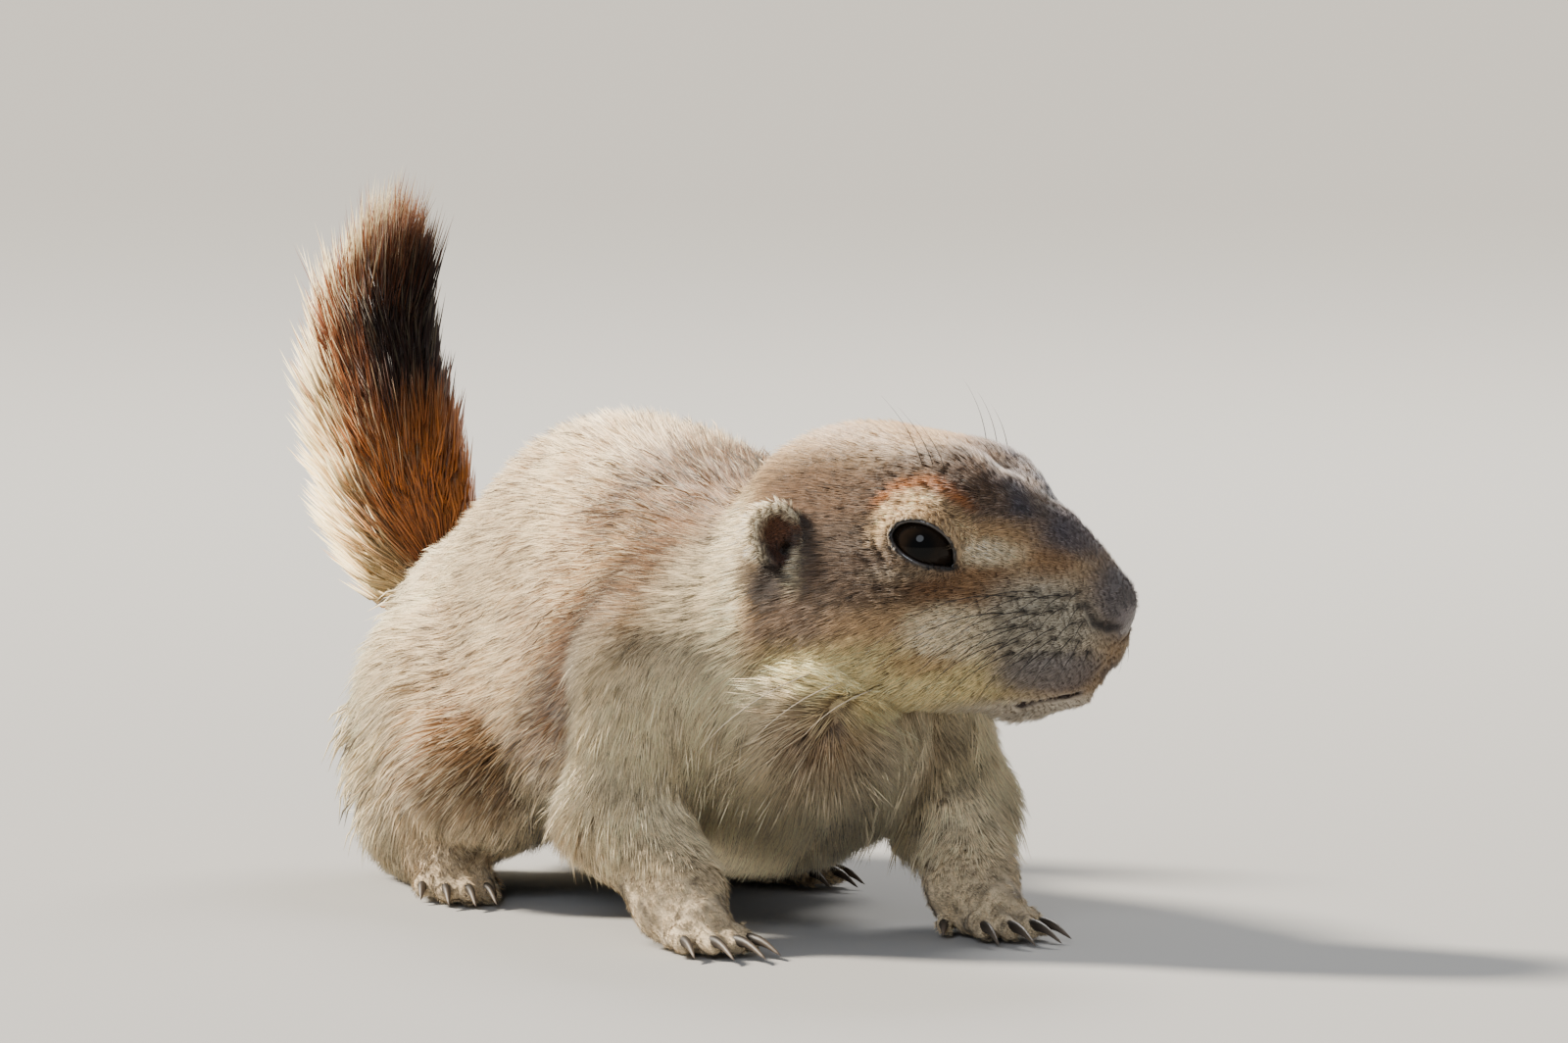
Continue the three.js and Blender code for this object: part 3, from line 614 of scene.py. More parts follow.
# %% Graded lattice
SPANS = (
    (-119, 113, 2.1, ((-1.52, 44, 62),)),
    (-50, 54, 1.2, ((-0.55, -34, -22),)),
    (-1.2, 108, 0.7, ((0.6, 10, 18), (-0.72, 32, 44))),
)
COARSE = 4
NEAR_SKIN = 5.2
OUTSIDE = 1.0
CHUNK = 400000


def graded(start, end, pitch, changes):
    places = [start]
    while places[-1] < end:
        here = pitch
        for change, low, high in changes:
            here += change * float(smooth(places[-1], low, high))
        places.append(places[-1] + here)
    return np.array(places)


def lattice_points(indices):
    return np.stack([axes[k][indices[k]] for k in range(3)])


axes = [graded(*span) for span in SPANS]
shape = tuple(len(a) for a in axes)
print("lattice", shape)
coarse_index = [np.minimum(np.arange(0, n, COARSE) + COARSE // 2, n - 1) for n in shape]
grid = np.meshgrid(*coarse_index, indexing="ij")
coarse = skin_field(lattice_points([g.ravel() for g in grid])).reshape(grid[0].shape)
values = coarse.astype(np.float32)
for k in range(3):
    values = np.repeat(values, COARSE, axis=k)
values = values[: shape[0], : shape[1], : shape[2]].copy()
close = np.nonzero(np.abs(values) < NEAR_SKIN)
print(len(close[0]), "samples near the skin")
for start in range(0, len(close[0]), CHUNK):
    part = tuple(c[start : start + CHUNK] for c in close)
    values[part] = skin_field(lattice_points(part))
for k in range(3):
    for end in (0, -1):
        wall = tuple(end if axis == k else slice(None) for axis in range(3))
        values[wall] = np.maximum(values[wall], OUTSIDE)

# %% Quads on the exact surface
FAR_OUTSIDE = 5.0
SLIDES = 2
LONGEST_SLIDE = 0.35
volume = openvdb.FloatGrid(FAR_OUTSIDE)
volume.copyFromArray(values)
vdb_points, quads = volume.convertToQuads(isovalue=0.0)
skin_mm = np.stack([np.interp(vdb_points[:, k], np.arange(shape[k]), axes[k]) for k in range(3)])


def field_slope(p, step=0.04):
    here = skin_field(p)
    slope = np.empty_like(p)
    for k in range(3):
        moved = p.copy()
        moved[k] += step
        slope[k] = (skin_field(moved) - here) / step
    return here, slope


for _ in range(SLIDES):
    here, slope = field_slope(skin_mm)
    steep = (slope**2).sum(axis=0) + TINY
    move = -here * slope / steep
    size = np.sqrt((move**2).sum(axis=0))
    skin_mm = skin_mm + move * np.minimum(1.0, LONGEST_SLIDE / np.maximum(size, TINY))
normals = slope / np.sqrt(steep)
print(len(quads), "quads of skin,", quads.shape)

# %% [markdown]
# ## From the animal's millimetres to the frame
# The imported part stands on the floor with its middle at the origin, while the sizes above
# count from a point in the trunk. The right eye is in both, so it gives the shift between
# the two, and everything made from here on is moved by it and turned into metres.

# %% Shift into the frame
low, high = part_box("eye_right")
eye_right = from_head(EYE_AT * (1, -1, 1))
SHIFT = np.array((low + high) / 2) * MM_IN_METRE - eye_right
print("shift", np.round(SHIFT, 3), "mm")


def in_frame(points):
    return (np.asarray(points, float).reshape(-1, 3) + SHIFT) * MM


def mesh_object(name, points, faces, *materials):
    mesh = bpy.data.meshes.new(name)
    mesh.from_pydata(in_frame(points).tolist(), [], [list(f) for f in faces])
    mesh.polygons.foreach_set("use_smooth", [True] * len(mesh.polygons))
    for material in materials:
        mesh.materials.append(material)
    return in_scene(name, mesh)


KEYS = {"FLOAT": "value", "INT": "value", "FLOAT_VECTOR": "vector", "FLOAT_COLOR": "color"}


def point_attribute(mesh, name, kind, data):
    attribute = mesh.attributes.new(name, kind, "POINT")
    number = np.int32 if kind == "INT" else np.float32
    attribute.data.foreach_set(KEYS[kind], np.ascontiguousarray(data, number).ravel())


skin = mesh_object("skin", skin_mm.T, quads.tolist())

# %% [markdown]
# ## Where each hair lies
# On a real animal the hair grows backwards from the nose, down the flanks and the legs,
# and out from the whorls on the breast. Each part of the body has its own direction, and
# the shares of the parts blend them. The directions are then laid into the skin's own
# plane and turned a little by slow waves, so that the coat parts into locks.

# %% Parts under each point of the skin
TAIL_START = -66
parts = part_fields(skin_mm)
shares = part_shares(parts, 5.0)
q = to_head(skin_mm)
mq = mirrored(q)
side = np.sign(skin_mm[1])
x, y, z = skin_mm
tail_near = np.full(len(x), 99.0)
tail_near[x < TAIL_START] = tail_shape(skin_mm[:, x < TAIL_START])
body_near = fuse(parts[0], parts[4], 8) + TRUNK_DEPTH
tail_mask = smooth(body_near - tail_near, -1.0, 2.0)
nearest = np.linalg.norm(skin_mm.T[:, None, :] - tail_line[None, :, :], axis=2).argmin(axis=1)
tail_s = nearest / TAIL_STEPS
tail_tangent = np.gradient(tail_line, axis=0)
tail_tangent /= np.linalg.norm(tail_tangent, axis=1)[:, None]
tangent = tail_tangent[nearest].T


def blend(a, b, share):
    return a * (1 - share) + b * share


# %% Lie of the coat
WHORLS = (((81.0, -5.7, 37.7), 17.0), ((69.0, 24.0, 33.0), 13.0))
ones = np.ones_like(x)


def ways(*parts):
    return np.stack([part * ones for part in parts])


def waves(p, scale, seed):
    a, b, c = (row / scale for row in p)
    first = np.sin(a + 1.7 * np.sin(0.8 * b + seed) + 0.6 * c)
    first *= np.sin(0.9 * c - 1.3 * np.sin(0.7 * a - seed))
    second = np.sin(1.9 * b + 1.2 * np.sin(1.1 * c + 2 * seed)) * np.sin(2.1 * a - 1.6 * c + seed)
    return 0.6 * first + 0.4 * second


flank = np.abs(normals[1])
front = smooth(x, 50, 66) * smooth(z, 62, 44)
trunk_lie = ways(-1, 0, -0.12 - 0.75 * flank - 0.9 * smooth(x, -58, -92))
trunk_lie = blend(trunk_lie, ways(-0.1, 0.25 * side, -1), front)
neck_lie = blend(ways(-0.85, 0, -0.35 - 0.5 * flank), ways(-0.1, 0.1 * side, -1), front)
cheek_drop = -0.05 - 0.3 * smooth(q[2], 2, -14)
head_lie = turn_from_head(ways(-1, 0.12 * np.sign(q[1]), cheek_drop))
fore_lie = ways(0.2 + smooth(z, 15, 7), 0, -smooth(z, 3, 14) - 0.1)
hind_lie = ways(-0.4 + 1.5 * smooth(z, 16, 9), 0.25 * side, -smooth(z, 5, 16) - 0.1)
lie = sum(w * v for w, v in zip(shares, (trunk_lie, neck_lie, head_lie, fore_lie, hind_lie)))
for centre, reach in WHORLS:
    away = skin_mm - np.array(centre)[:, None]
    distance = np.linalg.norm(away, axis=0)
    lie = lie + away / np.maximum(distance, 0.5) * 1.6 * smooth(distance, reach, reach * 0.3)
lie = blend(lie, tangent, tail_mask)
lie -= normals * (lie * normals).sum(axis=0)
lie /= np.maximum(np.linalg.norm(lie, axis=0), TINY)
across = np.cross(normals.T, lie.T).T
sway = 0.26 * waves(skin_mm, 5.5, 1.0) + 0.2 * waves(skin_mm, 2.2, 4.0)
sway *= 1 - 0.6 * shares[2]
lie = lie * np.cos(sway) + across * np.sin(sway)
print("locks turn by up to", round(math.degrees(np.abs(sway).max())), "degrees")

# %% [markdown]
# ## How long and how dense the coat is
# The hair is one to five millimetres long on the head, seven to nine on the trunk, a
# little more on the breast and about two centimetres on the tail. Each tuft stores its
# width, its length and how far its tips rise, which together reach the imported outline.

# %% Tuft sizes and cover
depth = coat_depth(skin_mm, parts, shares)
u_eye, v_eye, w_eye = eye_coordinates(mq)
eye_ball = np.sqrt(u_eye**2 + v_eye**2 + w_eye**2)
slit = np.where((w_eye > 1.0) & (eye_ball < 14), slit_distance(u_eye, v_eye), 20.0)
ear = ear_coordinates(mq)
ear_cup = egg(ear, *EAR_CUP)
lip_gap = chain(q, mouth, [0.5] * MOUTH_POINTS)
nostril_gap = chain(mq, NOSTRIL, NOSTRIL_RADII)
nose_pad = smooth(egg(mq, (55.5, 0, -13.2), (3.2, 3.8, 3.2)), 0.8, -0.6)

head_length = 1.5 + 1.3 * smooth(q[0], 50, 30) + 2.2 * smooth(q[0], 24, -6)
head_length *= 1 - 0.5 * smooth(slit, 4, 1)
head_length *= 1 - 0.55 * smooth(lip_gap, 5, 1)
leg_length = 1.5 + 5.0 * smooth(z, 8, 26)
breast = smooth(x, 48, 62) * smooth(z, 56, 46)
trunk_length = 6.8 + 2.6 * smooth(z, 45, 20) + 2.5 * breast
hind_length = leg_length + 2.5 * smooth(z, 16, 30)
part_lengths = (trunk_length, 6.2, head_length, leg_length, hind_length)
lengths = sum(length * share for length, share in zip(part_lengths, shares))
at_ear = smooth(egg(ear, *EAR_FLAP), 2.2, 0.4)
lengths *= 1 - 0.72 * at_ear
lift = np.maximum(depth, 0.6) * 0.95 * (1 - 0.6 * at_ear)
widths = 0.4 + 0.13 * lengths
up_tail = tail_s + 0.22
tail_reach = 0.56 + 0.44 * smooth(up_tail, 0.3, 0.58)
tail_reach = tail_reach * np.sqrt(np.maximum(0.04, 1 - (np.maximum(0, up_tail - 0.76) / 0.5) ** 2))
tail_lift = np.maximum(3.0, tail_reach * 13.5 - 3.0)
tail_end = smooth((normals * tangent).sum(axis=0), 0.3, 0.8)
lengths = blend(lengths, (18 + 3 * np.sin(9 * tail_s)) * (1 - 0.7 * tail_end), tail_mask)
lift = blend(lift, tail_lift + 6 * tail_end, tail_mask)
widths = blend(widths, 1.6, tail_mask)

cover = smooth(slit, 0.35, 0.9) * (eye_ball > SOCKET_RADIUS + 0.3)
cover *= smooth(ear_cup, -0.9, 0.3)
cover *= smooth(lip_gap, 0.9, 1.8) * smooth(nostril_gap, 0.0, 0.5) * (1 - nose_pad)
cover *= np.where((z < 0.6) & (normals[2] < -0.5), 0.0, 1.0)
print("hairs", round(float(lengths.min()), 1), "to", round(float(lengths.max()), 1), "mm long")

# %% [markdown]
# ## Regions and an unwrap of the skin
# The coat is split into pieces, because each may have only so many faces. The same split
# gives the unwrap. Each part is like a sleeve round its own axis, so a point's place is
# how far along the axis it lies and its angle round it, and each sleeve has its own cell
# of the map. A tuft then takes its colour from one small patch at its root's place.

# %% Regions and sleeves
REGIONS = "face crown neck breast flank_right flank_left rump_right rump_left legs tail".split()
FACE, CROWN, NECK, BREAST, FLANK_R, FLANK_L, RUMP_R, RUMP_L, LEGS, TAIL = range(1, 11)
AXES = {
    "head": ((16, 0, -7), (1, 0, 0), (0, 0, 1)),
    "trunk": ((0, 0, 45), (1, 0, 0), (0, 0, 1)),
    "limb": ((0, 28, 10), (1, 0, 0), (0, 0, 1)),
    "tail": ((-105, -3, 70), (-0.35, 0, 0.94), (0.94, 0, 0.35)),
}
SLEEVES = {FACE: "head", CROWN: "head", LEGS: "limb", TAIL: "tail"}
CELLS_A_ROW = 5
CELL, CELL_FILL, CELL_EDGE = (0.2, 0.5), (0.18, 0.48), 0.01

owner = shares.argmax(axis=0)
region = np.where(y < 0, FLANK_R, FLANK_L)
region = np.where(x < -38, np.where(y < 0, RUMP_R, RUMP_L), region)
region = np.where((owner == 1) | ((x > 46) & (z > 48)), NECK, region)
region = np.where((x > 40) & (z < 48), BREAST, region)
region = np.where((owner >= 3) & (z < 15), LEGS, region)
region = np.where(owner == 2, np.where(q[0] > 17, FACE, CROWN), region)
region = np.where(tail_mask > 0.5, TAIL, region)

chart = np.zeros((3, len(x)))
strand = np.zeros((3, len(x)))
sources = {"head": q, "limb": mirrored(skin_mm), "trunk": skin_mm, "tail": skin_mm}
for number in range(1, len(REGIONS) + 1):
    inside = region == number
    kind = SLEEVES.get(number, "trunk")
    centre, axis, top = (np.array(v, float) for v in AXES[kind])
    rel = sources[kind][:, inside] - centre[:, None]
    along = axis @ rel
    angle = np.arctan2(np.cross(axis, top) @ rel, top @ rel)
    radius = np.sqrt(np.maximum((rel**2).sum(axis=0) - along**2, 1.0))
    row, column = divmod(number - 1, CELLS_A_ROW)
    turn = angle / (2 * math.pi) + 0.5
    if kind == "limb":
        turn = turn * 0.5 + 0.5 * (y[inside] > 0)
    span = np.ptp(along) + TINY
    chart[0, inside] = column * CELL[0] + CELL_EDGE + CELL_FILL[0] * (along - along.min()) / span
    chart[1, inside] = row * CELL[1] + CELL_EDGE + CELL_FILL[1] * turn
    strand[:, inside] = (along, angle * np.median(radius), radius)
print({name: int((region == i + 1).sum()) for i, name in enumerate(REGIONS)})

# %% [markdown]
# ## Markings
# The colours are painted by rules of place, not by a picture: each marking is a soft egg
# or band in the frame of the head or body, laid over the one before. Skin and coat share
# them, so a gap between tufts never shows a wrong colour. Two more values say how many
# hairs have pale tips and how many are dark, which gives the coat its salt and pepper.
# The tips are cream on the body and duller on the dark saddle. On the head they are a
# paler version of their own colour, so the markings of the face stay clear.
# Several marks are painted shade, some of them only in part: patches on the side of the head, the
# near-black patch beneath the ear, the nostrils and mouth groove, the gaps between locks, and one side of
# the tail.

# %% Whisker roots
WHISKER_ROWS = (-8.5, -11.0, -13.5, -16.0, -18.5)
WHISKERS_A_ROW = 6
ROOT_DEPTH = -0.2
whisker_draw = np.random.default_rng(5)
whisker_roots = []
for row, height in enumerate(WHISKER_ROWS):
    for column in range(WHISKERS_A_ROW):
        swing = math.radians(42 + 10.5 * column + 3 * (row % 2) + whisker_draw.uniform(-3, 3))
        start = (41, 0, height + whisker_draw.uniform(-0.5, 0.5))
        whisker_roots.append(on_face(start, (math.cos(swing), math.sin(swing), 0), ROOT_DEPTH))
print(len(whisker_roots), "whisker roots on each side")

# %% Paint helpers
def shade(red, green, blue):
    return (np.array([red, green, blue]) / 255.0) ** 2.2


def paint(base, colour, mask):
    return base + (colour[:, None] - base) * np.clip(mask, 0, 1)


def paint_marks(base, place, marks):
    for colour, strength, *where in marks.values():
        base = paint(base, colour, strength * blot(place, *where))
    return base


def all_over(colour):
    return np.repeat(colour[:, None], len(x), axis=1)


CINNAMON = shade(158, 114, 76)
BUFF = shade(194, 158, 114)
CREAM = shade(248, 231, 194)
LEG_BUFF = shade(240, 214, 172)
JAW_CREAM = shade(226, 205, 148)
GREY_BROWN = shade(98, 76, 58)
WARM_BROWN = shade(118, 82, 54)
CROWN_BUFF = shade(172, 144, 110)
TAUPE = shade(98, 86, 75)
SLATE = shade(80, 76, 82)
RUST = shade(168, 104, 54)
MUZZLE = shade(184, 174, 153)
MAUVE = shade(114, 109, 113)
NOSE_GREY = shade(100, 98, 103)
DARK = shade(50, 42, 38)
RUFOUS = shade(164, 98, 46)
CHESTNUT = shade(122, 70, 38)
TAIL_BLACK = shade(42, 28, 22)

# %% Colours of the body
band_at = 20 + 0.95 * np.maximum(z - 30, 0)
saddle = smooth(abs(x - band_at), 22, 8) * smooth(z, 24, 42)
saddle = np.maximum(saddle, blot(skin_mm, (40, -8, 77), (22, 24, 15)))
rear_band = smooth(abs(x + 24), 16, 5) * smooth(z, 24, 40) * smooth(z, 92, 74)
low_flank = smooth(z, 35, 20) * smooth(x, 52, 34) * smooth(x, -40, -16)
middle = smooth(abs(x + 6), 34, 10) * smooth(z, 30, 50)
rump = smooth(x, -22, -44) * smooth(z, 80, 50)
coat = all_over(BUFF)
for colour, mask in (
    (CINNAMON, 0.5 + 0.7 * waves(skin_mm, 11, 2.0)),
    (GREY_BROWN * 0.8, saddle * (0.8 + 0.4 * waves(skin_mm, 6, 5.0))),
    (GREY_BROWN, rear_band * (0.34 + 0.3 * waves(skin_mm, 5, 1.0))),
    (WARM_BROWN, (0.25 + 0.25 * waves(skin_mm, 9, 8.0)) * smooth(z, 50, 70)),
    (GREY_BROWN * 0.75, low_flank * (0.7 + 0.4 * waves(skin_mm, 5, 3.0))),
    (CREAM, (0.4 + 0.3 * waves(skin_mm, 7, 9.0)) * middle),
    (CREAM, rump * (0.8 + 0.4 * waves(skin_mm, 5, 7.0))),
    (CREAM, smooth(normals[2], -0.1, -0.7)),
    (CREAM, breast * 0.95),
    (CREAM, 0.85 * blot(mirrored(skin_mm), (52, 30, 34), (18, 14, 18))),
    (CREAM, 0.75 * blot(mq, (-13, 20, -10), (10, 12, 18))),
):
    coat = paint(coat, colour, mask)
for centre, reach in WHORLS:
    near = np.linalg.norm(skin_mm - np.array(centre)[:, None], axis=0)
    coat = paint(coat, WARM_BROWN, 0.85 * smooth(near, reach * 0.8, reach * 0.1))
coat = paint(coat, LEG_BUFF, 0.85 * smooth(z, 30, 10) * np.maximum(shares[3], shares[4]))
coat = paint(coat, WARM_BROWN, 0.2 * smooth(waves(skin_mm, 1.1, 2.5), 0.0, 0.5) * smooth(z, 14, 6))
shaggy = np.clip(low_flank + rump + breast, 0, 1)
# Painted shade: the coat is made darker in wavy gaps between the locks, and more so where the hair is
# shaggy.
shade_between_locks = smooth(waves(skin_mm, 0.9, 6.5), -0.1, 0.5) * 0.25
shade_between_locks = shade_between_locks + smooth(waves(skin_mm, 2.0, 3.5), 0.0, 0.6) * 0.45 * shaggy
coat = coat * (1 - shade_between_locks)
print("body colour", np.round(coat.mean(axis=1), 2))

# %% Colours of the head
BASE_MARKS = {
    "side of the head": (BUFF, 1.0, (0, 14, -8), (26, 16, 16)),
    "pale collar": (CREAM, 1.0, (-14, 17, -6), (8.5, 14, 22), 0.35),
}
# Four patches here are partly the face's own dark marks and partly painted shade of the side of the head:
# those behind and beneath the eye, at the crown's edge and beneath the ear.
SIDE_MARKS = {
    "before the eye": (BUFF, 0.7, (36, 11, -2), (12, 8, 6)),
    "round the ear": (TAUPE, 0.85, (9, 20, -3.5), (15, 10, 9.5)),
    "painted shade behind the eye": (GREY_BROWN * 0.45, 0.9, (6, 20, -1), (14, 9, 9)),
    "painted shade at the edge of the crown": (GREY_BROWN * 0.6, 0.65, (8, 15, 10), (16, 9, 7)),
    "painted shade under the eye": (GREY_BROWN * 0.6, 0.8, (20, 20, -6), (11, 9, 4.5)),
    "cheek stripe": (WARM_BROWN, 0.65, (33, 16, -6.5), (10, 8, 4.2)),
    "painted shade below the ear": (GREY_BROWN * 0.7, 0.85, (3, 23, -14), (10, 8, 6)),
    "jaw": (JAW_CREAM, 1.0, (16, 19, -24.5), (28, 14, 8.5)),
    "pale cheek": (CREAM, 0.7, (31, 18, -14.5), (8, 8, 4.5)),
    "cheek streak": (CINNAMON, 0.5, (26, 20, -19.5), (7, 6, 2.2)),
    "lip pad": (MUZZLE, 1.0, (43, 9, -14), (10, 10, 8.5)),
    "lip": (MAUVE, 0.75, (45, 9, -21.5), (10, 9, 4)),
    "brow to ear": (GREY_BROWN, 0.85, (8, 17, 8.5), (16, 8, 4.5)),
}
FRONT_MARKS = {
    "brow shadow": (BUFF * 0.5, 0.7, (29, 17, 5.2), (4.5, 5, 2.4)),
    "lower lid": (CREAM, 0.1, (24, 20, -4.6), (6.5, 5, 1.3), 0.6),
    "tear line": (CREAM, 0.8, (35.5, 13, -1.5), (6, 5, 2.2), 0.6),
    "bridge": (SLATE * 1.5, 0.7, (46, 0, 0.5), (9, 8, 4)),
    "side of the nose": (CINNAMON * 0.7, 0.5, (44, 7, -3.5), (4, 4, 2.5)),
    "nose": (NOSE_GREY, 0.85, (56, 0, -9.5), (9, 8, 7)),
}
# Painted shade beneath the ear's lower rim: the coat there is made nearly black, and fewer of its hairs
# have pale tips.
shade_under_ear = blot(ear, (0.5, -6.0, 0.5), (4.8, 4.6, 5))
on_head = smooth(shares[2] + 0.25 * shares[1] * smooth(q[0], -24, -10), 0.15, 0.6)
top_line = q[2] - (9.5 - 0.42 * (q[0] - 20))
forehead = smooth(top_line, -2.5, 2.5) * smooth(q[0], 20, 31) * smooth(q[0], 52, 44)
arch = np.hypot((mq[0] - 24.8) / 8.2, (mq[2] - 0.5) / 9.3)
at_side = mq[1] > 8
brow_line = smooth(abs(arch - 1.42), 0.36, 0.1) * smooth(mq[2], 4, 9) * at_side
rust_line = smooth(abs(arch - 1.1), 0.17, 0.05) * smooth(mq[2], 5, 8) * at_side
over_eye = smooth(arch, 1.08, 0.85) * (smooth(mq[2], -1.5, 3.0) * at_side)
chin = smooth(q[2], -25, -28) * smooth(q[0], 20, 36)

face = all_over(CROWN_BUFF)
face = paint(face, WARM_BROWN, 0.45 * smooth(waves(q, 4, 1.0), 0.0, 0.8) * smooth(q[2], 0, 8))
face = paint_marks(face, mq, BASE_MARKS)
face = paint(face, SLATE, (0.8 + 0.3 * waves(q, 3, 2.0)) * forehead)
face = paint_marks(face, mq, SIDE_MARKS)
face = paint(face, GREY_BROWN * 0.8, 0.85 * brow_line)
face = paint(face, RUST, 0.75 * rust_line)
face = paint(face, 0.9 * BUFF + 0.2 * CREAM, over_eye)
face = paint_marks(face, mq, FRONT_MARKS)
face = paint(face, shade(214, 204, 186), 0.8 * chin)
face = paint(face, MAUVE * 0.7, 0.7 * smooth(lip_gap, 1.6, 0.3) * (q[0] > 34))
face = paint(face, DARK, 0.9 * shade_under_ear)
face = paint(face, CREAM, 0.85 * blot(ear, (-4.8, -6.5, 1), (1.6, 5.0, 3)))
for root in whisker_roots:
    face = paint(face, DARK, 0.8 * smooth(np.linalg.norm(mq - root[:, None], axis=0), 1.15, 0.35))
coat = coat + (face - coat) * on_head
print("marks:", ", ".join([*BASE_MARKS, *SIDE_MARKS, *FRONT_MARKS]))

# %% Ears, eye rims, nose and tail
ear_inside = smooth(ear_cup, 0.7, -0.3)
rim_near = chain(ear, EAR_RIM, EAR_RIM_RADII)
upper_rim = smooth(ear[2], 0.8, 1.7) * smooth(ear[1], -4.5, -2.0)
lid_line = smooth(slit, 0.95, 0.45) * (eye_ball < 10)
for colour, mask in (
    (shade(112, 74, 54), ear_inside),
    (shade(54, 36, 30), ear_inside * smooth(ear[1], 0.5, -3.0)),
    (CREAM, 0.9 * smooth(rim_near, 0.7, 0.0) * upper_rim * (1 - ear_inside)),
    (shade(18, 13, 12), lid_line),
    (shade(98, 90, 90), nose_pad * 0.85),
    # Painted shade of the openings: dark round the nostril slits and darker inside them, and a dark line
    # along the groove of the mouth.
    (DARK, 0.55 * smooth(nostril_gap, 1.3, 0.2) * (q[0] > 40)),
    (shade(34, 26, 26), smooth(nostril_gap, 0.35, -0.1) * (q[0] > 40)),
    (shade(40, 28, 25), smooth(lip_gap, 1.1, 0.3) * (q[0] > 34)),
):
    coat = paint(coat, colour, mask)

# Painted shade: the tail's own black band is laid only on the side away from the key lamp, and the tips on
# that side are less pale.
shaded_side = smooth(normals[0] * 0.75 + normals[1] * 0.6, 0.1, 0.7)
fringe = smooth(-0.42 * normals[0] - 0.9 * normals[1], 0.4, 0.95)
tail_coat = all_over(RUFOUS)
for colour, mask in (
    (WARM_BROWN * 0.7, smooth(tail_s, 0.2, 0.06)),
    (WARM_BROWN, 0.6 * smooth(waves(skin_mm, 3, 6.0), 0.0, 0.6)),
    (CHESTNUT, smooth(tail_s, 0.45, 0.62)),
    (TAIL_BLACK, smooth(tail_s, 0.5, 0.66) * smooth(tail_s, 0.97, 0.86) * shaded_side),
    (shade(226, 200, 144), 0.8 * fringe * smooth(tail_s, 0.75, 0.5)),
):
    tail_coat = paint(tail_coat, colour, mask)
coat = coat + (tail_coat - coat) * tail_mask
print("tail colour", np.round(tail_coat.mean(axis=1), 2))

# %% Tips, frost and dark hairs
body_tips = (0.4 * coat + 0.75 * shade(255, 238, 202)[:, None]) * (1 - 0.4 * saddle)
head_tips = 2.0 * coat + 0.04 + 0.1 * forehead
tips = body_tips + (head_tips - body_tips) * on_head
tail_tips = paint(tail_coat, shade(244, 226, 178), 0.95 * fringe + 0.4 * (1 - shaded_side) + 0.1)
tips = tips + (tail_tips - tips) * tail_mask
frost = (0.5 - 0.34 * shares[2] + 0.04 * breast) * (1 - 0.75 * saddle)
frost = frost * (1 - 0.5 * low_flank) * (1 - 0.9 * shade_under_ear * on_head)
frost = blend(frost, 0.2 + 0.55 * fringe + 0.3 * smooth(tail_s, 0.85, 1.0), tail_mask)
dark_hair = 0.24 * shares[0] + 0.18 * shares[1] + 0.14 * shares[2] * smooth(q[2], -14, 6)
dark_hair = dark_hair + 0.12 * saddle * (1 - shares[2])
dark_hair = dark_hair * (1 - breast) * (1 - tail_mask)
bare = np.clip(nose_pad + lid_line + smooth(lip_gap, 1.5, 0.8) * (q[0] > 34), 0, 1)

STORED = (
    ("coat", "FLOAT_COLOR", np.vstack([np.clip(coat, 0.004, 1), ones]).T),
    ("tips", "FLOAT_COLOR", np.vstack([np.clip(tips, 0.004, 1), ones]).T),
    ("frost", "FLOAT", frost),
    ("dark_hair", "FLOAT", dark_hair),
    ("lie", "FLOAT_VECTOR", lie.T),
    ("outward", "FLOAT_VECTOR", normals.T),
    ("tuft", "FLOAT_VECTOR", np.stack([widths, lengths, lift]).T * MM),
    ("cover", "FLOAT", cover),
    ("chart", "FLOAT_VECTOR", chart.T),
    ("strand", "FLOAT_VECTOR", strand.T),
    ("region", "INT", region),
    ("bare", "FLOAT", bare),
)
for name, kind, data in STORED:
    point_attribute(skin.data, name, kind, data)
print(len(STORED), "values stored at each point of the skin")

# %% [markdown]
# ## Materials
# A small helper joins shader nodes, so that each material below reads like a recipe. A
# value that is the same all over a surface is typed into its socket, and only colour and
# bump come through nodes.

# %% Node helpers
class Nodes:
    def __init__(self, tree):
        self.tree = tree

    def feed(self, socket, value):
        if isinstance(value, bpy.types.NodeSocket):
            self.tree.links.new(value, socket)
        else:
            socket.default_value = value

    def node(self, kind, settings=None, **inputs):
        made = self.tree.nodes.new(kind)
        for key, value in (settings or {}).items():
            setattr(made, key, value)
        for key, value in inputs.items():
            label = int(key[1:]) if key[1:].isdigit() else key.replace("_", " ")
            self.feed(made.inputs[label], value)
        return made

    def out(self, kind, settings=None, **inputs):
        return self.node(kind, settings, **inputs).outputs[0]

    def maths(self, operation, *values, kind="ShaderNodeMath"):
        inputs = {f"_{i}": value for i, value in enumerate(values)}
        return self.out(kind, {"operation": operation}, **inputs)

    def vector(self, operation, *values):
        return self.maths(operation, *values, kind="ShaderNodeVectorMath")


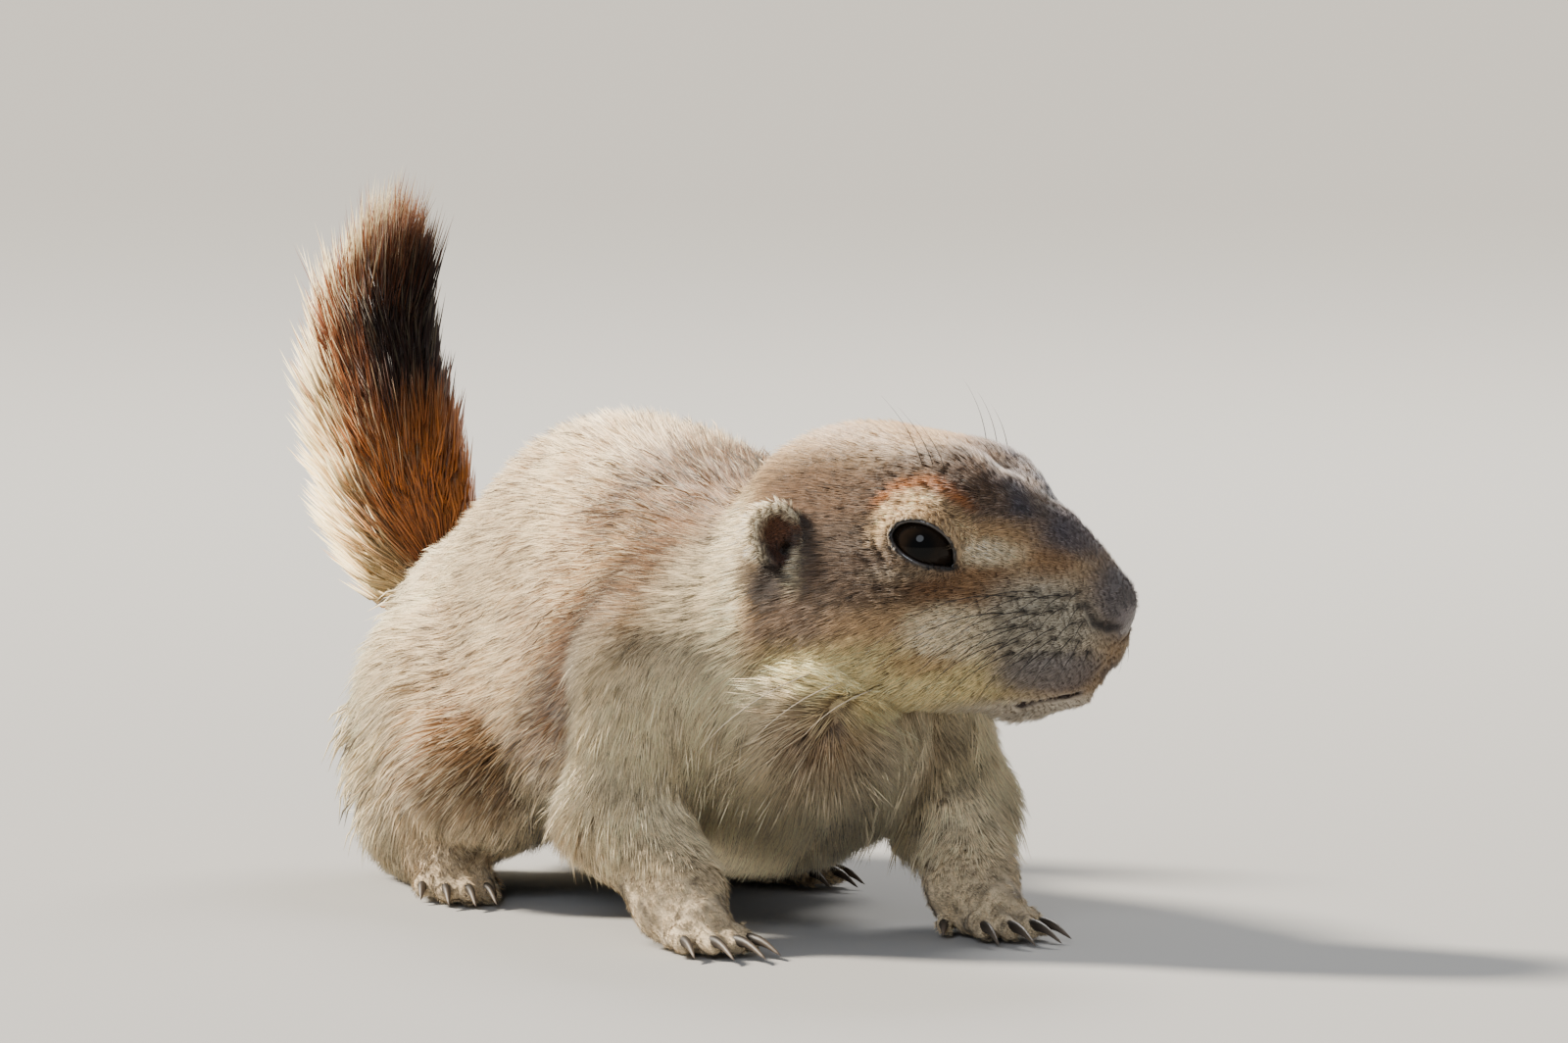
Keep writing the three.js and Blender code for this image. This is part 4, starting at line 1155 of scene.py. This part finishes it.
class Recipe(Nodes):
    def __init__(self, name):
        self.material = bpy.data.materials.new(name)
        self.material.use_nodes = True
        super().__init__(self.material.node_tree)
        self.shader = self.tree.nodes["Principled BSDF"]

    def finish(self, **inputs):
        for key, value in inputs.items():
            self.feed(self.shader.inputs[key.replace("_", " ")], value)
        return self.material

    def attribute(self, name, output="Fac"):
        return self.node("ShaderNodeAttribute", {"attribute_name": name}).outputs[output]

    def place(self):
        return self.node("ShaderNodeTexCoord").outputs["Object"]

    def scale(self, vector, value):
        return self.out("ShaderNodeVectorMath", {"operation": "SCALE"}, _0=vector, _3=value)

    def ramp(self, value, start, end, low=0.0, high=1.0):
        settings = {"interpolation_type": "SMOOTHSTEP"}
        ends = {"_1": start, "_2": end, "_3": low, "_4": high}
        return self.out("ShaderNodeMapRange", settings, _0=value, **ends)

    def mix(self, factor, a, b, blending="MIX"):
        settings = {"data_type": "RGBA", "blend_type": blending}
        return self.node("ShaderNodeMix", settings, _0=factor, _6=a, _7=b).outputs[2]

    def noise(self, vector, scale, detail, roughness):
        sizes = {"Scale": scale, "Detail": detail, "Roughness": roughness}
        return self.out("ShaderNodeTexNoise", Vector=vector, **sizes)

    def bump(self, height, strength, distance):
        return self.out("ShaderNodeBump", Height=height, Strength=strength, Distance=distance)


# %% [markdown]
# A hair of this coat is dark at the root, buff along its length and pale or black at the
# tip. Each hair carries how far along it is, and a random tone from its tuft and its own
# strand together. The recipe turns these into bands and makes every strand a little
# darker or lighter than the next. A little sheen gives the soft edge that fur has.

# %% Fur finish
ROOT_SHADE = (0.28, 0.24, 0.22, 1.0)
WHITE = (1.0, 1.0, 1.0, 1.0)
BLACK_HAIR = (0.03, 0.024, 0.02, 1.0)
TONE_SCRAMBLE = 7.31


def fur_finish(name, extra_frost=0.0):
    r = Recipe(name)
    base = r.attribute("coat", "Color")
    along = r.attribute("along")
    tone = r.maths("FRACT", r.maths("ADD", r.attribute("tone"), r.attribute("own")))
    vary = r.maths("FRACT", r.maths("MULTIPLY", tone, TONE_SCRAMBLE))
    bright = r.scale(base, r.maths("MULTIPLY_ADD", vary, 0.9, 0.55))
    root = r.mix(r.ramp(along, 0.0, 0.48), ROOT_SHADE, WHITE)
    colour = r.mix(1.0, bright, root, "MULTIPLY")
    pale = r.maths("LESS_THAN", tone, r.maths("ADD", r.attribute("frost"), extra_frost))
    pale = r.maths("MULTIPLY", pale, r.ramp(along, 0.4, 0.85))
    colour = r.mix(pale, colour, r.attribute("tips", "Color"))
    black = r.maths("GREATER_THAN", tone, r.maths("SUBTRACT", 1.0, r.attribute("dark_hair")))
    black = r.maths("MULTIPLY", black, r.ramp(along, 0.3, 0.7, 0.0, 0.85))
    gloss = {"Roughness": 0.42, "Specular_IOR_Level": 0.22, "Sheen_Weight": 0.06, "Sheen_Roughness": 0.4}
    return r.finish(Base_Color=r.mix(black, colour, BLACK_HAIR), **gloss)


coat_finish = fur_finish("coat_fur")
guard_finish = fur_finish("guard_hair", extra_frost=0.22)


# %% [markdown]
# Between the tufts the skin itself shows as very short fur. Fine streaks run along each
# sleeve of the body in the direction of the hair, both as colour and as bump. The streaks
# also make the colour darker, to under half in places, as painted shade under the coat.
# Bare places such as the nose pad, lips and lids get a pebbled, leathery bump instead.

# %% Skin finish
STREAK_STRETCH = (0.35, 2.6, 2.6)
PEBBLES = 1900.0


def skin_finish():
    r = Recipe("skin_short_fur")
    base = r.attribute("coat", "Color")
    stretched = r.out("ShaderNodeMapping", Vector=r.attribute("strand", "Vector"), Scale=STREAK_STRETCH)
    streaks = r.noise(stretched, 1.6, 3.0, 0.7)
    bare_part = r.attribute("bare")
    pebble = r.out("ShaderNodeTexVoronoi", Vector=r.place(), Scale=PEBBLES)
    # Painted shade: the streaks scale the coat colour by 0.42 to 1.05, for streaky short fur and for the
    # shade under the tufts.
    streaks_and_painted_shade = r.scale(base, r.ramp(streaks, 0.3, 0.7, 0.42, 1.05))
    height = r.out("ShaderNodeMix", {"data_type": "FLOAT"}, _0=bare_part, _2=streaks, _3=pebble)
    return r.finish(
        Base_Color=r.mix(bare_part, streaks_and_painted_shade, base),
        Normal=r.bump(height, 0.7, 0.0004),
        Roughness=r.ramp(bare_part, 0.0, 1.0, 0.75, 0.42),
        Specular_IOR_Level=0.3,
        Sheen_Weight=0.15,
    )


skin.data.materials.append(skin_finish())

# %% [markdown]
# ## The coat, with Geometry Nodes
# Tens of thousands of tufts follow the skin, so one node tree plants them all. It scatters
# points over one region, turns each tuft so that it lies along the coat and rises from
# the skin, scales it to the size stored there, and gives it a random tone. First come the
# tufts themselves: a few thin strands, each a closed spike of three sides. Short hair
# is straight, the tail's bends over, and the long guard hairs rise and then droop a
# little. There are a few kinds of each, so that none stands out as repeated.

# %% Tuft forms
STRAND_ARCH = 0.94
ROOT_SINK = 0.1
RIDGE = 0.55
draw = np.random.default_rng(11)


def strand_rings(root, tip, width, stations, droop, bow):
    rings = []
    for t, share in stations:
        x = root + (tip - root) * t
        height = STRAND_ARCH * ((1 + bow) * t - bow * t**2) - droop * t**2 - ROOT_SINK * (t == 0)
        half = width * share / 2
        ring = [(x - half, t, height), (x + half, t, height), (x, t, height + RIDGE * half)]
        rings.append(ring if share else [(x, t, height)])
    return rings


def tuft_form(name, strands, width, spread, gather, stations, droop=0.0, bow=1.0):
    points, faces, along, patch, own = [], [], [], [], []
    for i in range(strands):
        own_tone = draw.uniform(0.0, 1.0)
        root = spread * ((i + 0.5) / strands - 0.5) * 2 + draw.uniform(-0.06, 0.06)
        tip = root * gather + draw.uniform(-0.16, 0.16)
        reach = draw.uniform(0.82, 1.08)
        rise = draw.uniform(0.75, 1.15)
        rings = strand_rings(root, tip, width, stations, droop, bow)
        first = len(points)
        for ring in rings:
            for corner, (px, py, pz) in enumerate(ring):
                points.append((px, py * reach, pz * rise))
                along.append(py)
                own.append(own_tone)
                patch.append(((i + corner / 3) / strands, py, 0.0))
        faces.append((first, first + 2, first + 1))
        for k in range(len(rings) - 1):
            base = first + 3 * k
            for a, b in ((0, 1), (1, 2), (2, 0)):
                ahead = (3,) if len(rings[k + 1]) == 1 else (3 + b, 3 + a)
                faces.append(tuple(base + v for v in (a, b, *ahead)))
    mesh = bpy.data.meshes.new(name)
    mesh.from_pydata(points, [], faces)
    point_attribute(mesh, "along", "FLOAT", along)
    point_attribute(mesh, "patch", "FLOAT_VECTOR", patch)
    point_attribute(mesh, "own", "FLOAT", own)
    return bpy.data.objects.new(name, mesh)


def triangles_in(mesh):
    return sum(len(p.vertices) - 2 for p in mesh.polygons)


def form_family(name, count, **sizes):
    family = bpy.data.collections.new(name)
    for i in range(count):
        family.objects.link(tuft_form(f"{name}_{i}", **sizes))
    return family


SPIKE = ((0.0, 1.0), (1.0, 0.0))
BENT = ((0.0, 0.8), (0.42, 1.0), (1.0, 0.0))
LONG = ((0.0, 0.8), (0.28, 1.0), (0.62, 0.8), (1.0, 0.0))
face_forms = form_family("face_tufts", 5, strands=4, width=0.26, spread=0.75, gather=0.8, stations=SPIKE)
body_forms = form_family("body_tufts", 6, strands=5, width=0.19, spread=0.8, gather=0.6, stations=SPIKE)
guard_forms = form_family(
    "guard_tufts", 5, strands=2, width=0.17, spread=0.8, gather=0.5, stations=LONG, droop=0.3, bow=0.35
)
tail_forms = form_family("tail_tufts", 5, strands=3, width=0.19, spread=0.6, gather=0.8, stations=BENT)

# %% [markdown]
# The tree has named inputs for all that changes from piece to piece: the region, the
# kind of tuft, how many there are to a square metre and the seed. Instances are made real
# at the end, each corner gets its place on the unwrap, and the finish is set.

# %% Coat tree
INPUTS = {
    "Skin": "Geometry",
    "Region": "Int",
    "Tufts": "Collection",
    "Density": "Float",
    "Stretch": "Vector",
    "Seed": "Int",
    "Finish": "Material",
}
PATCH_SIZE = 0.003
SWING = 0.2
SMALLEST, LARGEST = (0.75, 0.7, 0.7), (1.3, 1.2, 1.2)
MOST_FORMS = 30
VECTOR = "FLOAT_VECTOR"
RANDOM_SOCKETS = {VECTOR: (0, 0), "FLOAT": (2, 1), "INT": (4, 2)}


class Tree(Nodes):
    def __init__(self, name, inputs):
        super().__init__(bpy.data.node_groups.new(name, "GeometryNodeTree"))
        sockets = self.tree.interface
        for label, kind in inputs.items():
            sockets.new_socket(name=label, in_out="INPUT", socket_type="NodeSocket" + kind)
        sockets.new_socket(name="Geometry", in_out="OUTPUT", socket_type="NodeSocketGeometry")
        self.inputs = self.node("NodeGroupInput").outputs

    def named(self, name, kind="FLOAT"):
        node = self.node("GeometryNodeInputNamedAttribute", {"data_type": kind}, Name=name)
        return node.outputs["Attribute"]

    def random(self, low, high, seed, kind="FLOAT"):
        first, output = RANDOM_SOCKETS[kind]
        node = self.node("FunctionNodeRandomValue", {"data_type": kind}, Seed=seed)
        node.inputs[first].default_value = low
        node.inputs[first + 1].default_value = high
        return node.outputs[output]

    def store(self, geometry, name, value, kind, domain):
        settings = {"data_type": kind, "domain": domain}
        stored = {"Geometry": geometry, "Name": name, "Value": value}
        return self.out("GeometryNodeStoreNamedAttribute", settings, **stored)


def coat_tree():
    t = Tree("coat_tufts", INPUTS)
    same = {"data_type": "INT", "operation": "EQUAL"}
    here = t.out("FunctionNodeCompare", same, _2=t.named("region", "INT"), _3=t.inputs["Region"])
    scattered = t.out(
        "GeometryNodeDistributePointsOnFaces",
        {"distribute_method": "RANDOM"},
        Mesh=t.inputs["Skin"],
        Density=t.maths("MULTIPLY", t.maths("MULTIPLY", here, t.named("cover")), t.inputs["Density"]),
        Seed=t.inputs["Seed"],
    )
    points = t.store(scattered, "tone", t.random(0.0, 1.0, 1), "FLOAT", "POINT")
    swing = t.random((-SWING,) * 3, (SWING,) * 3, 2, VECTOR)
    turn = t.out(
        "FunctionNodeAxesToRotation",
        {"primary_axis": "Z", "secondary_axis": "Y"},
        _0=t.named("outward", VECTOR),
        _1=t.vector("ADD", t.named("lie", VECTOR), swing),
    )
    size = t.vector("MULTIPLY", t.named("tuft", VECTOR), t.inputs["Stretch"])
    size = t.vector("MULTIPLY", size, t.random(SMALLEST, LARGEST, 3, VECTOR))
    each = {"Separate_Children": True, "Reset_Children": True}
    planted = t.out(
        "GeometryNodeInstanceOnPoints",
        Points=points,
        Instance=t.out("GeometryNodeCollectionInfo", Collection=t.inputs["Tufts"], **each),
        Pick_Instance=True,
        Instance_Index=t.random(0, MOST_FORMS, 4, "INT"),
        Rotation=turn,
        Scale=size,
    )
    real = t.out("GeometryNodeRealizeInstances", Geometry=planted)
    offset = t.vector("SUBTRACT", t.named("patch", VECTOR), (0.5, 0.5, 0.0))
    offset = t.vector("MULTIPLY", offset, (PATCH_SIZE,) * 3)
    place = t.vector("ADD", t.named("chart", VECTOR), offset)
    unwrapped = t.store(real, "OFBake", place, "FLOAT2", "CORNER")
    rounded = t.out("GeometryNodeSetShadeSmooth", Geometry=unwrapped)
    painted = t.out("GeometryNodeSetMaterial", Geometry=rounded, Material=t.inputs["Finish"])
    t.node("NodeGroupOutput", _0=painted)
    return t.tree


tufts = coat_tree()
print(len(tufts.nodes), "nodes")

# %% [markdown]
# One helper grows a piece of coat. It sets the inputs by their identifiers, has Blender
# work the tree out, and keeps the result as a plain mesh. The number of tufts is chosen
# from the triangles that the piece may have, so the density follows from the area.

# %% Grow a piece of coat
HAIR_FLOOR = 0.0003
SPARE = {"lie", "outward", "tuft", "cover", "chart", "strand", "region", "patch", "bare"}
corner = skin_mm.T[quads]
diagonals = np.cross(corner[:, 2] - corner[:, 0], corner[:, 3] - corner[:, 1])
quad_area = 0.5 * np.linalg.norm(diagonals, axis=1) * MM**2


def grow(name, number, forms, triangles, seed, stretch=(1.0, 1.0, 1.0), finish=coat_finish, mask=None):
    chosen = cover * (region == number) if mask is None else cover * mask
    area = float((quad_area * chosen[quads].mean(axis=1)).sum())
    density = triangles / triangles_in(forms.objects[0].data) / area
    host_mesh = skin.data.copy()
    if mask is not None:
        host_mesh.attributes["region"].data.foreach_set("value", np.full(len(x), number, np.int32))
        host_mesh.attributes["cover"].data.foreach_set("value", chosen.astype(np.float32))
    host = in_scene(name + "_host", host_mesh)
    modifier = host.modifiers.new("coat", "NODES")
    modifier.node_group = tufts
    choices = (number, forms, density, stretch, seed, finish)
    for label, value in zip(("Region", "Tufts", "Density", "Stretch", "Seed", "Finish"), choices):
        modifier[tufts.interface.items_tree[label].identifier] = value
    depsgraph = bpy.context.evaluated_depsgraph_get()
    mesh = bpy.data.meshes.new_from_object(
        host.evaluated_get(depsgraph), preserve_all_data_layers=True, depsgraph=depsgraph
    )
    mesh.name = name
    for spare in sorted({a.name for a in mesh.attributes} & SPARE):
        mesh.attributes.remove(mesh.attributes[spare])
    bpy.data.objects.remove(host)
    bpy.data.meshes.remove(host_mesh)
    places = np.empty(3 * len(mesh.vertices), np.float32)
    mesh.vertices.foreach_get("co", places)
    places[2::3] = np.maximum(places[2::3], HAIR_FLOOR)
    mesh.vertices.foreach_set("co", places)
    layers = [layer.name for layer in mesh.uv_layers]
    print(name, triangles_in(mesh), "triangles", round(density * MM**2, 2), "tufts a square mm", layers)
    return in_scene(name, mesh)


# %% [markdown]
# The short coat is grown region by region, then the brush of the tail. Last come three
# kinds of long hair: guard hairs all over the trunk, stiff ones at its lower edge and a
# few that stand up from the nape. A mask of places, not a region, says where these grow.

# %% All pieces of coat
on_trunk = (region >= NECK) & (region <= RUMP_L)
guard_mask = on_trunk * (0.12 + 0.5 * smooth(z, 60, 20) + 0.6 * smooth(x, -25, -60) + 0.4 * breast)
guard_mask = np.clip(guard_mask, 0, 1) * smooth(normals[2], -0.7, -0.2)
skirt_mask = on_trunk * smooth(normals[2], -0.8, -0.3) * smooth(z, 62, 26) * smooth(x, 46, 30)
skirt_mask *= np.maximum(smooth(x, -40, -80), smooth(z, 42, 24))
nape_mask = on_trunk * blot(skin_mm, (40, -4, 80), (24, 16, 14), 0.6)
PIECES = (
    ("coat_face", FACE, face_forms, 180000, 1),
    ("coat_crown", CROWN, face_forms, 140000, 2),
    ("coat_neck", NECK, body_forms, 80000, 3),
    ("coat_breast", BREAST, body_forms, 180000, 4),
    ("coat_flank_right", FLANK_R, body_forms, 180000, 5),
    ("coat_flank_left", FLANK_L, body_forms, 135000, 6),
    ("coat_rump_right", RUMP_R, body_forms, 120000, 7),
    ("coat_rump_left", RUMP_L, body_forms, 100000, 8),
    ("coat_legs", LEGS, face_forms, 90000, 9),
    ("tail_brush", TAIL, tail_forms, 175000, 10),
    ("guard_hairs", NECK, guard_forms, 125000, 12, (0.9, 1.6, 1.2), guard_finish, guard_mask),
    ("skirt_hairs", NECK, guard_forms, 20000, 14, (0.9, 1.5, 2.3), guard_finish, skirt_mask),
    ("nape_hairs", NECK, guard_forms, 3000, 13, (0.6, 1.7, 1.7), guard_finish, nape_mask),
)
grown = {choice[0]: grow(*choice) for choice in PIECES}
tail_piece = grown.pop("tail_brush")
coat_pieces = list(grown.values())

# %% [markdown]
# ## Eyes and lid rims
# The eyeball is a ball with a slightly raised cornea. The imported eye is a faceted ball
# of the same size, and this one stands for it. A thin wet rim follows the slit, where the
# dark skin of the lids meets the eye, which draws the eye's outline crisply.

# %% Eye finish
EYE_BLACK = (0.002, 0.002, 0.002, 1.0)
IRIS_BROWNS = ((0.004, 0.003, 0.002, 1.0), (0.012, 0.007, 0.004, 1.0))


def eye_finish():
    r = Recipe("eye_wet_dark")
    iris = r.ramp(r.attribute("outward_share"), 0.9, 0.985, 1.0, 0.0)
    brown = r.mix(r.noise(r.place(), 900.0, 2.0, 0.5), *IRIS_BROWNS)
    colour = r.mix(iris, EYE_BLACK, brown)
    return r.finish(Base_Color=colour, Roughness=0.03, IOR=1.33, Specular_IOR_Level=0.2)


def leather_finish(name, colour, scale, **inputs):
    r = Recipe(name)
    grain = r.noise(r.place(), scale, 4.0, 0.65)
    dark = tuple(0.6 * c for c in colour)
    shaded = r.mix(r.ramp(grain, 0.35, 0.7), (*dark, 1.0), (*colour, 1.0))
    return r.finish(Base_Color=shaded, Normal=r.bump(grain, 0.4, 0.0002), **inputs)


# %% [markdown]
# Lid rims, claws and whiskers are lofted: rings of points are set along a curve and
# joined by faces. What is made in the head's frame for the left side is mirrored for the
# right, so the faces are turned outwards again at the end.

# %% Tubes along curves
def round_turns(count):
    return np.arange(count) * 2 * math.pi / count


def head_points(points, side_y):
    q = np.array(points, float)
    q[:, 1] *= side_y
    return from_head(q.T).T


def join(tubes):
    points, faces = [], []
    for tube_points, tube_faces in tubes:
        first = len(points)
        points += list(tube_points)
        faces += [tuple(first + v for v in face) for face in tube_faces]
    return points, faces


def rounded_tube(rings, closed=False):
    points = [p for ring in rings for p in ring]
    count, sides = len(rings), len(rings[0])
    faces = []
    for i in range(count if closed else count - 1):
        a, b = i * sides, (i + 1) % count * sides
        for k in range(sides):
            m = (k + 1) % sides
            faces.append((a + k, a + m, b + m, b + k))
    if not closed:
        faces.append(tuple(reversed(range(sides))))
        faces.append(tuple(range((count - 1) * sides, count * sides)))
    return points, faces


def tube_along(path, radii, sides=8, closed=False):
    path = np.asarray(path, float)
    tangents = np.gradient(path, axis=0)
    if closed:
        tangents = np.roll(path, -1, axis=0) - np.roll(path, 1, axis=0)
    tangents /= np.linalg.norm(tangents, axis=1)[:, None]
    guide = np.array([0.0, 0.0, 1.0] if abs(tangents[0][2]) < 0.8 else [0.0, 1.0, 0.0])
    rings = []
    for at, tangent, radius in zip(path, tangents, radii):
        across = unit(np.cross(guide, tangent))
        guide = np.cross(tangent, across)
        turns = round_turns(sides)
        rings.append([at + radius * (math.cos(t) * across + math.sin(t) * guide) for t in turns])
    return rounded_tube(rings, closed)


def outward_faces(piece):
    work = bmesh.new()
    work.from_mesh(piece.data)
    bmesh.ops.recalc_face_normals(work, faces=work.faces)
    work.to_mesh(piece.data)
    work.free()
    return piece


# %% Eyeballs
EYEBALL_RADIUS, CORNEA_RISE = 6.55, 0.3
ROWS, TURNS = 40, 64
LID_RIM_RADIUS, LID_RIM_THICKNESS = 7.1, 0.42
LID_TURNS = 72
LID_REACH, LID_HALVINGS = 12.0, 24
LID_OVERLAP = 0.15


def eye_ball_mesh():
    local, shares_out, faces = [], [], []
    for angle in np.linspace(0, math.pi, ROWS + 1)[1:-1]:
        rise, ring = math.cos(angle), math.sin(angle)
        radius = EYEBALL_RADIUS + CORNEA_RISE * float(smooth(rise, 0.72, 1.0))
        for turn in round_turns(TURNS):
            local.append((radius * ring * math.cos(turn), radius * ring * math.sin(turn), radius * rise))
            shares_out.append(rise)
    front_pole, back_pole = len(local), len(local) + 1
    local += [(0, 0, EYEBALL_RADIUS + CORNEA_RISE), (0, 0, -EYEBALL_RADIUS)]
    shares_out += [1.0, -1.0]
    last = (ROWS - 2) * TURNS
    wraps = [(k, (k + 1) % TURNS) for k in range(TURNS)]
    for row in range(0, last, TURNS):
        faces += [(row + k, row + TURNS + k, row + TURNS + m, row + m) for k, m in wraps]
    for k, m in wraps:
        faces += [(front_pole, k, m), (back_pole, last + m, last + k)]
    return np.array(local), faces, np.array(shares_out)


def lid_rim_path():
    path = []
    for turn in round_turns(LID_TURNS):
        way = np.array([[math.cos(turn)], [math.sin(turn)]])
        run = edge_of(lambda run: slit_distance(*(run * way))[0] < LID_OVERLAP, LID_REACH, LID_HALVINGS)
        u, v = run * math.cos(turn), run * math.sin(turn)
        path.append((u, v, math.sqrt(max(LID_RIM_RADIUS**2 - u * u - v * v, 4.0))))
    return np.array(path)


def on_side(points, side_y):
    u, v, w = points.T[:, :, None]
    return head_points(EYE_AT + u * EYE_ALONG + v * EYE_UP + w * EYE_OUT, side_y)


wet_eye = eye_finish()
lid_skin = leather_finish("lid_rim_skin", (0.02, 0.014, 0.012), 1500.0, Roughness=0.3, Coat_Weight=0.6)
ball_points, ball_faces, shares_out = eye_ball_mesh()
lid_path = lid_rim_path()
eye_pieces = []
for label, side_y in (("right", -1), ("left", 1)):
    ball = mesh_object(f"eyeball_{label}", on_side(ball_points, side_y), ball_faces, wet_eye)
    point_attribute(ball.data, "outward_share", "FLOAT", shares_out)
    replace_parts(outward_faces(ball), f"eye_{label}")
    tube = tube_along(on_side(lid_path, side_y), [LID_RIM_THICKNESS] * LID_TURNS, closed=True)
    lid = mesh_object(f"lid_rim_{label}", *tube, lid_skin)
    eye_pieces += [ball, outward_faces(lid)]
print(len(eye_pieces), "eye pieces")

# %% [markdown]
# ## Claws
# A prairie dog digs, so its fore claws are long. Each is horn: a tapering, slightly
# flattened and curved cone, dark at the root and paler and worn at the tip. The claws of
# both forefeet are one piece and those of both hind feet another.

# %% Claws
HORN = ((0.02, 0.016, 0.013, 1.0), (0.13, 0.10, 0.075, 1.0))
CLAW_RINGS = 9
CLAW_SIDES = 10
CLAW_ROOT = 0.28


def horn_finish():
    r = Recipe("claw_horn")
    colour = r.mix(r.ramp(r.attribute("along"), 0.2, 1.0), *HORN)
    ridges = r.bump(r.noise(r.place(), 1400.0, 2.0, 0.5), 0.25, 0.0001)
    return r.finish(Base_Color=colour, Normal=ridges, Roughness=0.5, Specular_IOR_Level=0.3)


def claw_rings(toe, side_y):
    place, heading, length, radius, claw = toe
    beside = np.array([-math.sin(heading), math.cos(heading), 0.0])
    up = np.array([0.0, 0.0, 1.0])
    rings = []
    for t in np.linspace(0, 1, CLAW_RINGS):
        run = length * (1 - CLAW_ROOT) + (claw + length * CLAW_ROOT) * t
        hump = 0.315 * math.sin(math.pi * min(t * 1.2, 1.0))
        rise = 0.35 + hump - (0.85 * radius + 0.1) * t**2.2
        half = 0.95 * (1 - t) ** 0.7 + 0.04
        tall = 1.15 * (1 - t) ** 0.75 + 0.05
        centre = np.array(toe_point(toe, run, rise))
        ring = []
        for turn in round_turns(CLAW_SIDES):
            p = centre + beside * half * math.cos(turn) + up * tall * math.sin(turn)
            ring.append(p * (1, side_y, 1))
        rings.append(ring)
    return rings


horn = horn_finish()
claw_pieces = []
for label, chosen in (("fore", toes[:5]), ("hind", toes[5:])):
    points, faces = join([rounded_tube(claw_rings(toe, side_y)) for side_y in (-1, 1) for toe in chosen])
    claws = mesh_object(f"claws_{label}", points, faces, horn)
    ring_of = np.arange(len(points)) // CLAW_SIDES % CLAW_RINGS
    point_attribute(claws.data, "along", "FLOAT", ring_of / (CLAW_RINGS - 1))
    claw_pieces.append(outward_faces(claws))
print(len(toes) * 2, "claws")

# %% [markdown]
# ## Whiskers
# Dark whiskers stand in rows on the lip pads, curve back and down, and are longest at
# the back. Each root shows as a dark dot. A few finer ones grow over the eyes, and some
# pale stiff hairs stand on the cheek. They are lofted tubes that taper to a point.

# %% Whiskers
BRISTLE_SINK = 0.5


def bristle(root, start_way, end_way, length, radius, steps=8):
    start_way, end_way = unit(start_way), unit(end_way)
    at = np.array(root, float) - start_way * BRISTLE_SINK
    path = [at]
    for i in range(steps):
        way = unit(start_way * (1 - i / steps) + end_way * (i / steps))
        at = at + way * length / steps
        path.append(at)
    radii = [radius * (1 - 0.92 * i / steps) for i in range(steps + 1)]
    return tube_along(path, radii, sides=5)


dark_hairs, pale_hairs = [], []
for side_y in (-1, 1):
    made = []
    for i, root in enumerate(whisker_roots):
        row, column = divmod(i, WHISKERS_A_ROW)
        back = column / (WHISKERS_A_ROW - 1)
        length = (9 + 22 * back) * (1.1 - 0.12 * row) * whisker_draw.uniform(0.85, 1.1)
        start_way = (0.1 - 0.8 * back, 0.75, 0.1 - 0.1 * row)
        end_way = (-0.3 - 0.3 * back, 0.05, -0.95)
        made.append(bristle(root, start_way, end_way, length, 0.11))
        made.append(bristle(root, start_way, start_way, 1.3, 0.3, 2))
    for k in range(3):
        root = on_face((23 + 2.0 * k, 10, 4), (0, 0.5, 1), ROOT_DEPTH)
        made.append(bristle(root, (-0.2, 0.3, 1), (-0.8, 0.3, 0.8), 15 - 2 * k, 0.09))
    dark_hairs += [(head_points(points, side_y), faces) for points, faces in made]
    for k in range(3):
        root = on_face((6 + 5 * k, 0, -20 - 1.5 * k), (0, 1, -0.1), ROOT_DEPTH)
        points, faces = bristle(root, (-0.7, 0.6, -0.3), (-0.7, 0.1, -0.9), 26 - 5 * k, 0.13)
        pale_hairs.append((head_points(points, side_y), faces))

whisker_pieces = []
for name, hairs, finish_name, colour, roughness in (
    ("whiskers_dark", dark_hairs, "whisker_black", (0.02, 0.015, 0.012), 0.35),
    ("whiskers_pale", pale_hairs, "whisker_pale", (0.62, 0.52, 0.38), 0.4),
):
    finish = leather_finish(finish_name, colour, 3000.0, Roughness=roughness)
    whisker_pieces.append(outward_faces(mesh_object(name, *join(hairs), finish)))
    print(name, len(hairs), "bristles")

# %% [markdown]
# ## The pieces on the body
# Every piece rides on the one body, and stands for the imported solids that it covers,
# which are then hidden.

# %% Ride and replaced solids
for piece in [skin, tail_piece, *coat_pieces, *eye_pieces, *claw_pieces, *whisker_pieces]:
    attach(piece, "root")
for piece in coat_pieces:
    kind = "head_coat" if piece.name in ("coat_face", "coat_crown") else "body_coat"
flesh = [name for name in frame["nodes"] if not name.startswith("eye")]
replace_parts(skin, *flesh)
